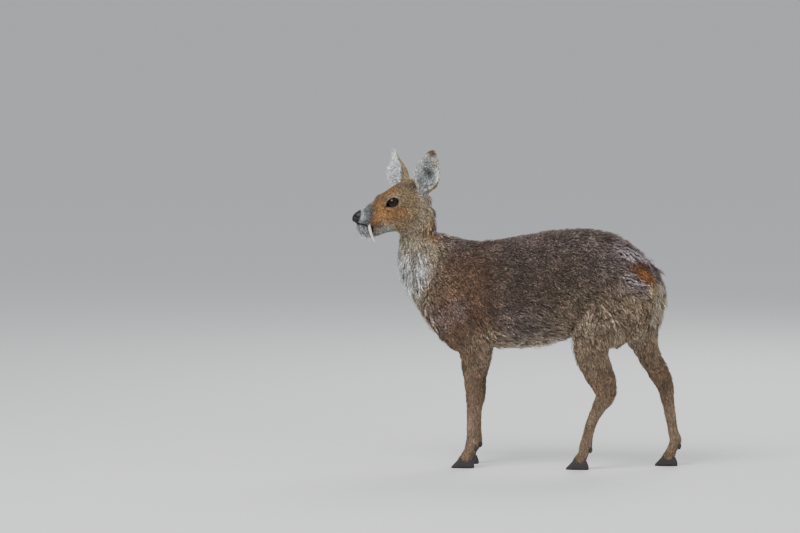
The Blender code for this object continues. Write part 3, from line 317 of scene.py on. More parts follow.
BODY_ZONES = (
    Zone((-178, 4, 606), (0.35, 0, -0.93), 24, 9.5, 1.9, Tones.SAND, 0.6, 14),
    Zone((-166, 4, 578), (0.45, 0, -0.89), 24, 10, 1.9, Tones.MAUVE, 0.6, 13),
    Zone((-194, 30, 612), (0.25, 0, -0.97), 16, 5, 1.6, Tones.SAND, 0.35, 13),
    Zone((-192, 30, 586), (0.25, 0, -0.97), 16, 5, 1.6, Tones.ORANGE, 0.35, 14),
    Zone((-188, 32, 562), (0.25, 0, -0.97), 16, 5, 1.6, Tones.ORANGE, 0.35, 14),
    Zone((-228, 50, 600), (0.15, 0, -0.99), 16, 5, 1.6, Tones.SAND, 0.35, 24),
    Zone((-262, 0, 560), (0.05, 0, -1), 18, 6, 1.7, Tones.SAND, 0.5, 22),
    Zone((-238, 45, 545), (0.15, 0, -0.99), 18, 6, 1.7, Tones.SAND, 0.45, 26),
    Zone((-195, 50, 520), (0.25, 0, -0.97), 18, 6, 1.7, Tones.SAND, 0.45, 22),
    Zone((-258, 15, 500), (0.1, 0, -0.99), 32, 9, 1.9, Tones.BIB, 0.85, 24),
    Zone((-238, 40, 490), (0.12, 0, -0.99), 30, 8.5, 1.9, Tones.BIB, 0.85, 20),
    Zone((-212, 50, 478), (0.2, 0, -0.98), 28, 8.5, 1.9, Tones.BIB, 0.85, 16),
    Zone((-229, 45, 482), (0.12, 0, -0.99), 26, 7.5, 1.8, Tones.TAN, 0.8, 6),
    Zone((-227, 45, 464), (0.12, 0, -0.99), 26, 7.5, 1.8, Tones.TAN, 0.8, 6),
    Zone((-240, 30, 450), (0.2, 0, -0.98), 32, 9.5, 2, Tones.BIB, 0.85, 22),
    Zone((-215, 44, 425), (0.3, 0, -0.95), 28, 8.5, 2, Tones.CREAM, 0.75, 20),
    Zone((-175, 60, 440), (0.4, 0, -0.91), 20, 7, 1.8, Tones.TAN, 0.45, 26),
    Zone((-195, 20, 350), (0.45, 0, -0.89), 26, 8.5, 1.9, Tones.FAWN, 0.6, 30),
    Zone((-178, 56, 362), (0.45, 0, -0.89), 26, 8.5, 1.9, Tones.MAUVE, 0.6, 22),
    Zone((-126, 76, 388), (0.65, 0, -0.76), 18, 6, 1.8, Tones.MAUVE, 0.35, 15),
    Zone((-130, 0, 555), (0.9, 0, -0.2), 18, 7, 1.8, Tones.DUSK, 0.35, 40),
    Zone((-120, 80, 460), (0.75, 0, -0.65), 14, 5.5, 1.7, Tones.CHESTNUT, 0.25, 50),
    Zone((-130, 75, 370), (0.65, 0, -0.76), 15, 5.5, 1.7, Tones.CHESTNUT, 0.3, 45),
    Zone((30, 0, 556), (1, 0, -0.02), 15, 6.5, 1.8, Tones.DUSK, 0.25, 50),
    Zone((30, 95, 450), (0.92, 0, -0.38), 14, 6, 1.8, Tones.AGOUTI, 0.22, 60),
    Zone((30, 85, 345), (0.88, 0, -0.47), 22, 8, 1.9, Tones.DUSK, 0.55, 34),
    Zone((30, 20, 288), (0.97, 0, -0.2), 32, 12.5, 2.1, Tones.CREAM, 0.75, 34),
    Zone((-60, 45, 300), (0.8, 0, -0.6), 22, 8, 1.8, Tones.FAWN, 0.5, 28),
    Zone((150, 0, 572), (1, 0, -0.1), 17, 7.5, 1.8, Tones.DUSK, 0.3, 50),
    Zone((160, 90, 450), (0.88, 0, -0.47), 16, 7, 1.8, Tones.AGOUTI, 0.25, 55),
    Zone((155, 88, 395), (0.85, 0, -0.53), 22, 8, 1.8, Tones.TAN, 0.5, 24),
    Zone((140, 75, 350), (0.82, 0, -0.57), 32, 11, 2.1, Tones.FAWN, 0.75, 30),
    Zone((120, 10, 312), (0.95, 0, -0.3), 36, 13, 2.1, Tones.CREAM, 0.8, 34),
    Zone((240, 0, 560), (0.9, 0, -0.44), 24, 9, 1.9, Tones.DUSK, 0.55, 32),
    Zone((225, 80, 510), (0.8, 0, -0.6), 17, 7, 1.8, Tones.DUSK, 0.35, 36),
    # painted sheen: a pale bluish highlight on the top of the rump
    Zone((258, 42, 532), (0.8, 0, -0.6), 28, 9.5, 2.1, Tones.MAUVE, 0.7, 16),
    Zone((280, 40, 520), (0.72, 0, -0.69), 32, 11, 2.2, Tones.MAUVE, 0.9, 14),
    Zone((303, 28, 511), (0.72, 0, -0.69), 32, 11, 2.2, Tones.MAUVE, 0.9, 11),
    Zone((305, 53, 483), (0.65, 0, -0.76), 14, 3, 1.5, Tones.MOULT, 0.4, 14),
    Zone((322, 50, 470), (0.6, 0, -0.8), 14, 3, 1.5, Tones.MOULT, 0.4, 13),
    Zone((338, 42, 457), (0.5, 0, -0.87), 15, 3.5, 1.5, Tones.MOULT, 0.4, 9.5),
    Zone((325, 18, 500), (0.65, 0, -0.76), 32, 10, 2.2, Tones.DUSK, 0.9, 13),
    Zone((346, 24, 474), (0.4, 0, -0.92), 32, 10, 2.2, Tones.DUSK, 0.9, 12),
    Zone((282, 72, 452), (0.92, 0, -0.38), 24, 9, 2, Tones.MAUVE, 0.9, 13),
    Zone((310, 67, 440), (0.92, 0, -0.38), 22, 9, 2, Tones.MAUVE, 0.9, 10),
    Zone((340, 48, 436), (0.4, 0, -0.92), 26, 8.5, 2, Tones.GOLD, 0.7, 11),
    Zone((356, 28, 428), (0.15, 0, -0.99), 30, 9, 2.1, Tones.CREAM, 0.75, 13),
    Zone((352, 30, 385), (0.1, 0, -0.99), 28, 8.5, 2, Tones.CREAM, 0.7, 22),
    Zone((260, 85, 400), (0.6, 0, -0.8), 24, 8.5, 1.9, Tones.TAN, 0.65, 34),
    Zone((275, 83, 355), (0.35, 0, -0.93), 24, 8.5, 1.9, Tones.FAWN, 0.7, 30),
    Zone((330, 68, 375), (0.25, 0, -0.97), 26, 9, 2, Tones.RUFOUS, 0.7, 24),
    Zone((195, 83, 360), (0.4, 0, -0.92), 24, 8.5, 1.9, Tones.FAWN, 0.7, 26),
    Zone((218, 79, 315), (0.3, 0, -0.95), 20, 6, 1.7, Tones.SHANK, 0.6, 26),
    Zone((260, 20, 330), (0.2, 0, -0.98), 20, 7, 1.8, Tones.CREAM, 0.5, 30),
    Zone((210, 70, 280), (0.25, 0, -0.97), 17, 4.2, 1.5, Tones.SHANK, 0.5, 34),
    Zone((320, 70, 290), (0.3, 0, -0.95), 18, 4.6, 1.5, Tones.SHANK, 0.5, 34),
    Zone((235, 55, 215), (0.1, 0, -0.99), 16, 3.6, 1.4, Tones.HOCK, 0.45, 24),
    Zone((370, 55, 205), (0.2, 0, -0.98), 16, 3.6, 1.4, Tones.HOCK, 0.45, 24),
    Zone((205, 50, 105), (-0.2, 0, -0.98), 14, 2.3, 1.2, Tones.SHANK, 0.3, 40),
    Zone((385, 50, 105), (0.1, 0, -0.99), 14, 2.3, 1.2, Tones.SHANK, 0.3, 40),
    Zone((-110, 50, 310), (0.15, 0, -0.99), 16, 4.8, 1.6, Tones.HOCK, 0.4, 30),
    Zone((-85, 46, 225), (0, 0, -1), 15, 3, 1.3, Tones.HOCK, 0.4, 30),
    Zone((-88, 46, 105), (0, 0, -1), 14, 2.3, 1.2, Tones.SHANK, 0.3, 40),
    Zone((-100, 46, 30), (-0.3, 0, -0.95), 11, 2.2, 1.2, Tones.HOCK, 0.25, 18),
    Zone((178, 50, 30), (-0.3, 0, -0.95), 11, 2.2, 1.2, Tones.HOCK, 0.25, 18),
    Zone((384, 50, 30), (-0.3, 0, -0.95), 11, 2.2, 1.2, Tones.HOCK, 0.25, 18),
)

HEAD_ZONES = (
    Zone((-158, 0, 627), (1, 0, 0.45), 4.5, 1, 1, Tones.WHITE, 0.1, 5.5),
    Zone((-143, 0, 638), (1, 0, 0.45), 5, 1.1, 1, Tones.CREAM, 0.1, 5.5),
    Zone((-150, 9, 625), (1, 0, 0.45), 5.5, 1.2, 1, Tones.GREY, 0.1, 7),
    Zone((-120, 0, 648), (0.9, 0, 0.45), 7, 1.5, 1, Tones.RUFOUS, 0.15, 12),
    Zone((-163, 15, 604), (0.95, 0.2, 0), 4.5, 1, 1, Tones.ASH, 0.1, 5.5),
    Zone((-151, 19, 607), (1, 0.1, 0.1), 5.5, 1.2, 1, Tones.GREY, 0.1, 6.5),
    Zone((-158, 17, 590), (1, 0.1, 0), 4, 0.9, 1, Tones.GREY, 0.1, 5),
    # painted shade: the chin's white hair is given a darker blue-grey
    Zone((-166, 7, 571), (1, 0, -0.3), 7, 1.8, 1.1, Tones.ASH, 0.3, 8.5),
    Zone((-158, 6, 556), (1, 0, -0.5), 8.5, 3, 1.2, Tones.ASH, 0.5, 7),
    # painted shade round the base of the tusk
    Zone((-146, 19, 573), (1, 0, -0.1), 4.5, 1, 0.9, Tones.DARK, 0.1, 5),
    Zone((-128, 20, 576), (1, 0, -0.1), 8, 2, 1.1, Tones.FAWN, 0.3, 6),
    # painted shade: the jaw's white underside in a darkened white
    Zone((-108, 18, 564), (1, 0, -0.1), 9, 2.6, 1.2, Tones.CHIN, 0.4, 11),
    Zone((-133, 23, 602), (1, 0, 0.05), 7, 1.5, 1, Tones.ORANGE, 0.12, 10),
    Zone((-112, 29, 588), (1, 0, -0.05), 7, 1.8, 1.1, Tones.GOLD, 0.2, 8),
    Zone((-106, 33, 606), (1, 0, 0), 6, 1.4, 1, Tones.ORANGE, 0.12, 12),
    Zone((-80, 38, 612), (0.95, 0, -0.15), 8, 2, 1.1, Tones.ORANGE, 0.2, 11),
    Zone((-78, 34, 588), (0.95, 0, -0.25), 8.5, 2.4, 1.2, Tones.GOLD, 0.3, 12),
    Zone((-50, 42, 602), (0.8, 0, -0.5), 10.5, 3, 1.3, Tones.GOLD, 0.35, 14),
    Zone((-75, 0, 681), (1, 0, 0.3), 8, 2, 1.1, Tones.RUFOUS, 0.2, 14),
    Zone((-100, 14, 662), (0.95, 0, 0.4), 6.5, 1.5, 1, Tones.ORANGE, 0.15, 10),
    Zone((-130, 19, 630), (0.95, 0, 0.3), 6.5, 1.4, 1, Tones.ORANGE, 0.12, 8.5),
    Zone((-72, 34, 655), (0.95, 0, 0.2), 8, 2, 1.1, Tones.GOLD, 0.2, 12),
    Zone((-30, 0, 694), (1, 0, -0.1), 11, 3, 1.3, Tones.GOLD, 0.3, 18),
    Zone((-48, 26, 672), (1, 0, 0.1), 11, 2.8, 1.2, Tones.AGOUTI, 0.4, 7),
    Zone((-50, 38, 635), (0.95, 0, -0.05), 9.5, 2.6, 1.2, Tones.GOLD, 0.3, 14),
    Zone((-15, 38, 645), (0.7, 0, -0.7), 14, 3.6, 1.3, Tones.SAND, 0.4, 14),
    Zone((-20, 36, 600), (0.55, 0, -0.84), 16, 4.2, 1.4, Tones.SAND, 0.4, 16),
    Zone((2, 0, 660), (0.6, 0, -0.8), 18, 5.5, 1.5, Tones.SAND, 0.4, 18),
    Zone((-21, 30, 664), (0.1, 0.2, 1), 13, 3.5, 1.2, Tones.WHITE, 0.4, 7.5),
    Zone((-12, 34, 648), (0.4, 0, -0.9), 14, 3.8, 1.3, Tones.CREAM, 0.4, 8),
    Zone((-55, 5, 565), (0.9, 0, -0.4), 13, 4, 1.4, Tones.CREAM, 0.45, 14),
)


@dataclass(frozen=True)
class LockRow:
    """A row of separate locks along a line on the coat, on both sides of the animal."""

    start: Triple
    end: Triple
    count: int
    way: Triple
    length: float
    radius: float
    lift: float
    curl: float
    tone: Tones


# The ear's own frame is along it, across it to its leading edge, and out of the cup: 30 inside it, -30 behind it
EAR_BACK = (
    Zone((25, 31, 0), (0.9, 0.4, 0), 9, 2.2, 1.2, Tones.CREAM, 0.3, 8),
    Zone((60, 31, 0), (1, 0.2, 0), 5, 1.4, 1, Tones.CREAM, 0.2, 8),
    Zone((50, -32, 0), (1, -0.2, 0), 5, 1.4, 1, Tones.SNOW, 0.2, 8),
    Zone((15, 0, -30), (1, 0, 0), 10, 2.6, 1.2, Tones.SAND, 0.3, 14),
    Zone((45, 0, -30), (1, 0, 0), 8, 1.8, 1.1, Tones.GOLD, 0.2, 16),
    Zone((80, 0, -30), (1, 0, 0), 7, 1.5, 1, Tones.RUFOUS, 0.2, 14),
)
EAR_ZONES = EAR_BACK + (
    Zone((5, 0, 30), (1, 0.2, 0), 17, 5, 1.3, Tones.WHITE, 0.6, 10),
    Zone((28, 22, 30), (1, 0.3, 0), 19, 5, 1.3, Tones.SNOW, 0.7, 10),
    # painted shade deep in the hollow of the cup
    Zone((42, 4, 30), (1, 0.2, 0), 7, 1.2, 1.1, Tones.DARK, 0.2, 8.5),
    Zone((22, 0, 30), (1, 0, 0), 10, 1.6, 1.1, Tones.ASH, 0.3, 9),
    Zone((58, 6, 30), (1, 0.3, 0), 5.5, 1.4, 1.1, Tones.WHITE, 0.2, 9),
    Zone((62, 22, 30), (1, 0.3, 0), 9, 2.4, 1.2, Tones.SNOW, 0.5, 8),
    Zone((30, -26, 30), (1, -0.4, 0), 14, 3.2, 1.2, Tones.SNOW, 0.6, 10),
    Zone((56, -26, 30), (1, -0.4, 0), 12, 2.6, 1.2, Tones.SNOW, 0.5, 8),
    Zone((68, -12, 30), (1, -0.4, 0), 6, 1.4, 1.1, Tones.CREAM, 0.3, 7),
    Zone((76, 4, 30), (1, 0.2, 0), 5.5, 1.4, 1.1, Tones.WHITE, 0.2, 10),
    Zone((93, 0, 30), (1, 0, 0), 8, 1.6, 1.1, Tones.TAN, 0.2, 7),
    Zone((100, 0, 0), (1, 0, 0), 6, 1.2, 1, Tones.TAN, 0.15, 8),
)

# The ear that looks ahead is white up to its tip, and shows the long hair of its outer edge
FAR_EAR_ZONES = EAR_BACK + (
    Zone((8, 0, 30), (0.9, 0, 0.4), 12, 3.5, 1.3, Tones.SNOW, 0.6, 12),
    Zone((10, -26, 30), (0.9, -0.1, 0.4), 11, 2.8, 1.3, Tones.SNOW, 0.6, 10),
    Zone((26, -28, 30), (0.45, -0.2, 1), 17, 5.5, 1.3, Tones.SNOW, 0.6, 8),
    Zone((42, -28, 30), (0.4, -0.2, 1), 18, 6, 1.3, Tones.SNOW, 0.6, 12),
    Zone((42, 4, 30), (0.8, 0, 0.4), 12, 2.5, 1.2, Tones.SNOW, 0.4, 12),
    Zone((30, 24, 30), (0.6, 0.2, 0.8), 15, 4.5, 1.3, Tones.SNOW, 0.5, 12),
    Zone((68, -18, 30), (0.7, -0.1, 0.8), 13, 3.5, 1.2, Tones.SNOW, 0.5, 12),
    Zone((70, 14, 30), (0.9, 0.1, 0.4), 11, 2.8, 1.2, Tones.SNOW, 0.4, 12),
    Zone((92, 0, 30), (1, 0, 0.1), 9, 2, 1.1, Tones.SNOW, 0.3, 12),
    Zone((100, 0, 0), (1, 0, 0), 7, 1.4, 1, Tones.SNOW, 0.15, 9),
    Zone((100, 0, -20), (1, 0, 0), 6, 1.2, 1, Tones.SNOW, 0.15, 12),
)

# The locks that stand out of the coat, in rows: from and to where, how many, the way they hang, their length and
# radius, how far their middles stand off the coat, how far their tips turn up, and their tone
LOCK_ROWS = (
    LockRow((262, 52, 522), (318, 22, 507), 11, (0.7, 0, -0.71), 34, 4.2, 2, 3, Tones.MAUVE),
    LockRow((250, 56, 532), (300, 20, 524), 9, (0.8, 0, -0.6), 32, 4.2, 1.5, 2, Tones.MAUVE),
    LockRow((316, 20, 505), (344, 26, 482), 7, (0.55, 0, -0.83), 34, 4.2, 1.5, 2, Tones.DUSK),
    LockRow((262, 74, 468), (316, 64, 445), 10, (0.95, 0, -0.3), 22, 3.6, 2, 2, Tones.MAUVE),
    LockRow((332, 50, 448), (348, 22, 444), 6, (0.2, 0, -0.98), 28, 4, 1, 1, Tones.GOLD),
    LockRow((352, 8, 450), (358, 38, 424), 6, (0.1, 0, -1), 30, 4, 1, 1, Tones.CREAM),
    LockRow((356, 44, 410), (346, 52, 350), 7, (0.15, 0, -0.99), 26, 4, 1, 2, Tones.CREAM),
    LockRow((300, 74, 420), (310, 74, 350), 6, (0.45, 0, -0.89), 26, 4.2, 1, 1, Tones.FAWN),
    LockRow((185, 84, 385), (196, 80, 325), 4, (0.35, 0, -0.94), 24, 3.6, 0.5, 1, Tones.FAWN),
    LockRow((222, 86, 400), (262, 86, 340), 8, (0.45, 0, -0.89), 26, 4, 1, 1, Tones.TAN),
    LockRow((-30, 50, 305), (150, 46, 328), 16, (0.85, 0, -0.53), 30, 4, 1, 2, Tones.FAWN),
    LockRow((-35, 28, 292), (150, 24, 314), 20, (0.72, 0, -0.69), 32, 4.2, 1, 6, Tones.CREAM),
    LockRow((-25, 8, 288), (140, 6, 308), 14, (0.72, 0, -0.69), 32, 4.2, 1, 6, Tones.CREAM),
    LockRow((-62, 70, 335), (-30, 70, 335), 4, (0.6, 0, -0.8), 26, 4, 1, 2, Tones.TAN),
    LockRow((-200, 16, 574), (-168, 16, 562), 9, (0.8, 0, -0.5), 22, 4, 1, 1, Tones.MAUVE),
    LockRow((-204, 10, 652), (-160, 8, 568), 9, (0.4, 0, -0.92), 28, 4.5, 2, 1, Tones.MAUVE),
    LockRow((-203, 12, 648), (-162, 12, 572), 9, (0.4, 0, -0.92), 27, 4.2, 2, 1, Tones.CREAM),
    LockRow((-206, 32, 640), (-186, 36, 572), 9, (0.3, 0, -0.95), 24, 3.8, 0.8, 1, Tones.GOLD),
    LockRow((-205, 50, 415), (-170, 62, 350), 9, (0.35, 0, -0.94), 30, 4.2, 1.5, 2, Tones.FAWN),
    LockRow((-262, 10, 525), (-244, 22, 430), 15, (0.1, 0, -0.99), 36, 3.6, 1, 1, Tones.SNOW),
    LockRow((-240, 42, 515), (-240, 38, 435), 8, (0.1, 0, -0.99), 36, 3.4, 1, 1, Tones.SNOW),
    LockRow((-214, 50, 515), (-212, 50, 440), 9, (0.12, 0, -0.99), 36, 3.4, 1, 1, Tones.SNOW),
    LockRow((-208, 53, 515), (-198, 56, 450), 6, (0.2, 0, -0.98), 32, 3.6, 1, 1, Tones.BIB),
)
CHIN_ROWS = (
    LockRow((-168, 4, 564), (-150, 10, 556), 5, (0.25, 0, -0.97), 13, 1.4, 0.5, 5, Tones.WHITE),
)

# The line between the lips, as (x, z) in the head's own frame, and where it ends
MOUTH_LINE = (
    (-0.185, 0.59), (-0.176, 0.5885), (-0.161, 0.5845), (-0.153, 0.581), (-0.1435, 0.5755), (-0.134, 0.571),
)
MOUTH_CORNER = -0.134
MOUTH_SHADE = (-0.145, 0.5735)  # painted shade on the lip behind the tusk

# The rings of hair round an eye: tone, strength, how far out and how wide, where 1 is the edge of the opening, and
# whether above or below the eye
EYE_RINGS = (
    (Tones.CREAM, 0.9, 1.32, 0.11, True),
    (Tones.DARK, 0.45, 1.6, 0.08, True),
    (Tones.CREAM, 0.6, 1.84, 0.1, True),
    (Tones.CREAM, 0.3, 1.36, 0.12, False),
)
TEAR_MARK = (0.004, -0.001, 0.006, 0.0028)  # how far before the eye, how high, and its half length and half height
LID_SHORTENING = 0.45  # how much shorter the hair is at the lids

# The bare nose ends on a slant, further forward at the lip: its back edge, the height this is at, and its slant
NOSE_EDGE = (-0.1655, 0.612, 0.34)


SMOOTH_STEPS = (0.55, -0.57)  # out and back, which keeps a mesh's volume


def smooth_step(values: Array) -> Array:
    """Eases values from 0 to 1."""
    clipped = np.clip(values, 0.0, 1.0)
    return clipped * clipped * (3 - 2 * clipped)


def unit(vectors: Array) -> Array:
    """Brings each row to length 1."""
    return vectors / np.maximum(np.linalg.norm(vectors, axis=-1, keepdims=True), 1e-9)


def bell(values: Array) -> Array:
    """Gives a smooth bump: 1 at zero, and nearly 0 from 2 on."""
    return np.exp(-(values**2))


def smooth_rows(rows: Sequence[Sequence[float]] | Array, per_span: int) -> Array:
    """Finds rows of numbers on a smooth curve through the given ones.

    Args:
        rows: The rows that the curve goes through.
        per_span: How many rows to make for each span.

    Returns:
        The finer rows.
    """
    rows = np.array(rows, float)
    steps = np.linalg.norm(np.diff(rows[:, :4], axis=0), axis=1)
    places = np.concatenate([[0.0], np.cumsum(steps)])
    slopes = np.gradient(rows, places, axis=0)
    made = []
    for start in range(len(rows) - 1):
        span = places[start + 1] - places[start]
        for step in range(per_span):
            t = step / per_span
            made.append(
                (2 * t**3 - 3 * t**2 + 1) * rows[start]
                + (t**3 - 2 * t**2 + t) * span * slopes[start]
                + (3 * t**2 - 2 * t**3) * rows[start + 1]
                + (t**3 - t**2) * span * slopes[start + 1]
            )
    made.append(rows[-1])
    return np.array(made)


class HeadFrame:
    """The head's own frame, which looks along -X before the head is turned."""

    def __init__(self) -> None:
        """Works out the head's place and turn."""
        self.matrix = Matrix.Translation(HEAD_PIVOT + CENTRE_SHIFT) @ Matrix.Rotation(HEAD_TURN, 4, "Z")
        self.turn = np.array(self.matrix.to_3x3())
        self.origin = np.array(self.matrix.translation)

    def point(self, place: Iterable[float]) -> Vector:
        """Gives a place of the head's frame in the model's frame."""
        return self.matrix @ Vector(place)

    def way(self, direction: Iterable[float]) -> Vector:
        """Gives a direction of the head's frame in the model's frame."""
        return (self.matrix.to_3x3() @ Vector(direction)).normalized()

    def to_local(self, points: Array) -> Array:
        """Gives the model's points in the head's frame."""
        return (points - self.origin) @ self.turn

    def from_local(self, points: Array) -> Array:
        """Gives points of the head's frame in the model's frame."""
        return points @ self.turn.T + self.origin

    def share(self, points: Array) -> Array:
        """Says how far each of the model's points belongs to the head, from 0 to 1.

        Args:
            points: The model's points.

        Returns:
            The share for each point.
        """
        place, normal = HEAD_PLANE
        depth = (self.to_local(points) - np.array(place)) @ np.array(normal)
        return smooth_step(depth / 0.024 + 0.5)


HEAD = HeadFrame()


def new_mesh(name: str, points: Array, faces: Array) -> Mesh:
    """Makes a mesh from arrays.

    Args:
        name: The mesh's name.
        points: The points, three numbers a row.
        faces: The faces, all with the same number of corners.

    Returns:
        The mesh.
    """
    mesh = bpy.data.meshes.new(name)
    corners = faces.shape[1]
    mesh.vertices.add(len(points))
    mesh.vertices.foreach_set("co", np.ascontiguousarray(points, np.float32).ravel())
    mesh.loops.add(faces.size)
    mesh.loops.foreach_set("vertex_index", np.ascontiguousarray(faces, np.int32).ravel())
    mesh.polygons.add(len(faces))
    mesh.polygons.foreach_set("loop_start", np.arange(len(faces), dtype=np.int32) * corners)
    mesh.update(calc_edges=True)
    mesh.shade_smooth()
    return mesh


def add_piece(name: str, mesh: Mesh) -> Object:
    """Puts a mesh in the scene as a piece that rides on the part's one body.

    Args:
        name: The piece's name.
        mesh: Its mesh.

    Returns:
        The piece.
    """
    piece = bpy.data.objects.new(name, mesh)
    bpy.context.scene.collection.objects.link(piece)
    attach(piece, ROOT)
    return piece


def read(items: bpy.types.bpy_prop_collection, name: str, width: int, kind: type = np.float32) -> Array:
    """Reads one property of all of a mesh's points, edges, loops or faces.

    Args:
        items: The points, edges, loops or faces.
        name: The property.
        width: How many numbers it has.
        kind: Their kind.

    Returns:
        One row for each item.
    """
    values = np.empty(len(items) * width, kind)
    items.foreach_get(name, values)
    return values.reshape(-1, width)


def mesh_points(mesh: Mesh) -> Array:
    """Reads a mesh's points."""
    return read(mesh.vertices, "co", 3).astype(float)


def mesh_normals(mesh: Mesh) -> Array:
    """Reads a mesh's point normals."""
    return read(mesh.vertex_normals, "vector", 3).astype(float)


def set_points(mesh: Mesh, points: Array) -> None:
    """Moves a mesh's points."""
    mesh.vertices.foreach_set("co", points.astype(np.float32).ravel())
    mesh.update()


def set_colours(mesh: Mesh, name: str, colours: Array) -> None:
    """Stores a colour for each point of a mesh.

    Args:
        mesh: The mesh.
        name: The attribute's name.
        colours: Linear red, green and blue for each point.
    """
    layer = mesh.color_attributes.new(name, "FLOAT_COLOR", "POINT")
    full = np.ones((len(colours), 4), np.float32)
    full[:, :3] = colours
    layer.data.foreach_set("color", full.ravel())


def relax(mesh: Mesh, rounds: int, share: Array | None = None) -> None:
    """Smooths a mesh in steps out and back.

    Args:
        mesh: The mesh.
        rounds: How many times to smooth it.
        share: How far each point takes part, from 0 to 1.
    """
    points = mesh_points(mesh)
    count = len(points)
    edges = read(mesh.edges, "vertices", 2, np.int32)
    linked = np.maximum(np.bincount(edges.ravel(), minlength=count), 1)[:, None]
    part = np.ones((count, 1)) if share is None else share[:, None]
    for _ in range(rounds):
        for step in SMOOTH_STEPS:
            total = np.zeros_like(points)
            for axis in range(3):
                total[:, axis] = np.bincount(edges[:, 0], points[edges[:, 1], axis], count)
                total[:, axis] += np.bincount(edges[:, 1], points[edges[:, 0], axis], count)
            points = points + step * part * (total / linked - points)
    set_points(mesh, points)


def band(bm: bmesh.types.BMesh, one: Sequence, two: Sequence) -> None:
    """Joins two rings of points by faces."""
    for here, ahead in zip(range(len(one)), [*range(1, len(one)), 0]):
        bm.faces.new((one[here], one[ahead], two[ahead], two[here]))


class Forms:
    """Draws the closed forms that the skin is fused from."""

    def __init__(self, sides: int = 40) -> None:
        """Starts with no forms, and with so many points for each section."""
        self.bm = bmesh.new()
        self.sides = sides

    def ring(self, row: Array) -> list[Vector]:
        """Finds the points round one section.

        Args:
            row: The section's numbers.

        Returns:
            The points.
        """
        top_x, top_z, bottom_x, bottom_z, half_width, side, turn, pear = (float(v) for v in row)
        centre = Vector(((top_x + bottom_x) / 2, side, (top_z + bottom_z) / 2))
        up = Vector(((top_x - bottom_x) / 2, 0.0, (top_z - bottom_z) / 2))
        turned = Matrix.Rotation(turn, 3, "Z")
        points = []
        for k in range(self.sides):
            angle = 2 * math.pi * k / self.sides
            across = half_width * math.sin(angle) * (1 - pear * math.cos(angle))
            points.append(centre + turned @ (up * math.cos(angle) + Vector((0.0, across, 0.0))))
        return points

    def loft(self, rows: Array, matrix: Matrix, dome: float = 0.45) -> None:
        """Adds a closed form through the sections, with a dome on each end.

        Args:
            rows: The sections.
            matrix: Where the form goes.
            dome: The height of each dome as a share of the end's radius.
        """
        bm, sides = self.bm, self.sides
        rings = [[bm.verts.new(matrix @ p) for p in self.ring(row)] for row in rows]
        for one, two in zip(rings, rings[1:]):
            band(bm, one, two)
        for end, inner in ((rings[0], rings[1]), (rings[-1], rings[-2])):
            middle = sum((v.co for v in end), Vector()) / sides
            before = sum((v.co for v in inner), Vector()) / sides
            reach = sum((v.co - middle).length for v in end) / sides
            way = (middle - before).normalized()
            shoulder = [bm.verts.new(middle + (v.co - middle) * 0.72 + way * reach * dome * 0.66) for v in end]
            band(bm, end, shoulder)
            pole = bm.verts.new(middle + way * reach * dome)
            for k in range(sides):
                bm.faces.new((shoulder[k], shoulder[(k + 1) % sides], pole))

    def sections(self, sections: Sequence[Section], matrix: Matrix, per_span: int = 5) -> None:
        """Adds a form through named sections."""
        self.loft(smooth_rows([s.row() for s in sections], per_span), matrix)

    def limb(self, girths: Sequence[Girth], side: Side, matrix: Matrix, back: float = 0.0) -> None:
        """Adds a limb, with each section square to its middle line.

        Args:
            girths: The limb's girths.
            side: The side of the animal that it is on.
            matrix: Where the form goes.
            back: How many millimetres further back it stands than its girths say.
        """
        rows = smooth_rows([girth.row(back) for girth in girths], 5)
        along = unit(np.gradient(rows[:, :2], axis=0))
        made = []
        for (x, z, depth, width, offset), (dx, dz) in zip(rows, along):
            ends = [x - dz * depth, z + dx * depth, x + dz * depth, z - dx * depth]
            made.append([*ends, width, offset * side.value, 0.0, 0.0])
        self.loft(np.array(made), matrix)

    def ellipsoid(self, place: Sequence[float], radii: Sequence[float], matrix: Matrix) -> None:
        """Adds an ellipsoid."""
        shape = matrix @ Matrix.Translation(Vector(place)) @ Matrix.Diagonal((*radii, 1.0))
        bmesh.ops.create_uvsphere(self.bm, u_segments=28, v_segments=18, radius=1.0, matrix=shape)

    def to_mesh(self, name: str) -> Mesh:
        """Ends the drawing and gives the mesh.

        Args:
            name: The mesh's name.

        Returns:
            The mesh.
        """
        bmesh.ops.recalc_face_normals(self.bm, faces=self.bm.faces)
        mesh = bpy.data.meshes.new(name)
        self.bm.to_mesh(mesh)
        self.bm.free()
        return mesh


class ZoneMap:
    """Blends the zones of the coat over a surface."""

    def __init__(self, zones: Sequence[Zone]) -> None:
        """Reads the zones into arrays.

        Args:
            zones: The zones.
        """
        self.places = np.array([z.place for z in zones]) / 1000
        self.reach = np.array([z.reach for z in zones]) / 1000
        self.rows = np.array([z.row() for z in zones])

    def blend(self, points: Array) -> Array:
        """Gives the zones' numbers at each point, the nearest zones counting most.

        Args:
            points: Places in the zones' own frame.

        Returns:
            One row for each point, as Zone.row gives them.
        """
        rows = np.empty((len(points), self.rows.shape[1]))
        for start in range(0, len(points), 40000):
            part = points[start:start + 40000]
            square = ((part[:, None, :] - self.places[None]) ** 2).sum(axis=2)
            power = -square / (2 * self.reach**2)
            weight = np.exp(power - power.max(axis=1, keepdims=True))
            rows[start:start + 40000] = weight @ self.rows / weight.sum(axis=1, keepdims=True)
        return rows

    def mirrored(self, points: Array) -> Array:
        """Gives the numbers of a coat that is the same on both sides.

        Args:
            points: Places in the zones' own frame.

        Returns:
            One row for each point, as Zone.row gives them.
        """
        rows = self.blend(np.abs(points * (0, 1, 0)) + points * (1, 0, 1))
        rows[:, 1] *= np.where(points[:, 1] < 0, -1.0, 1.0)
        return rows


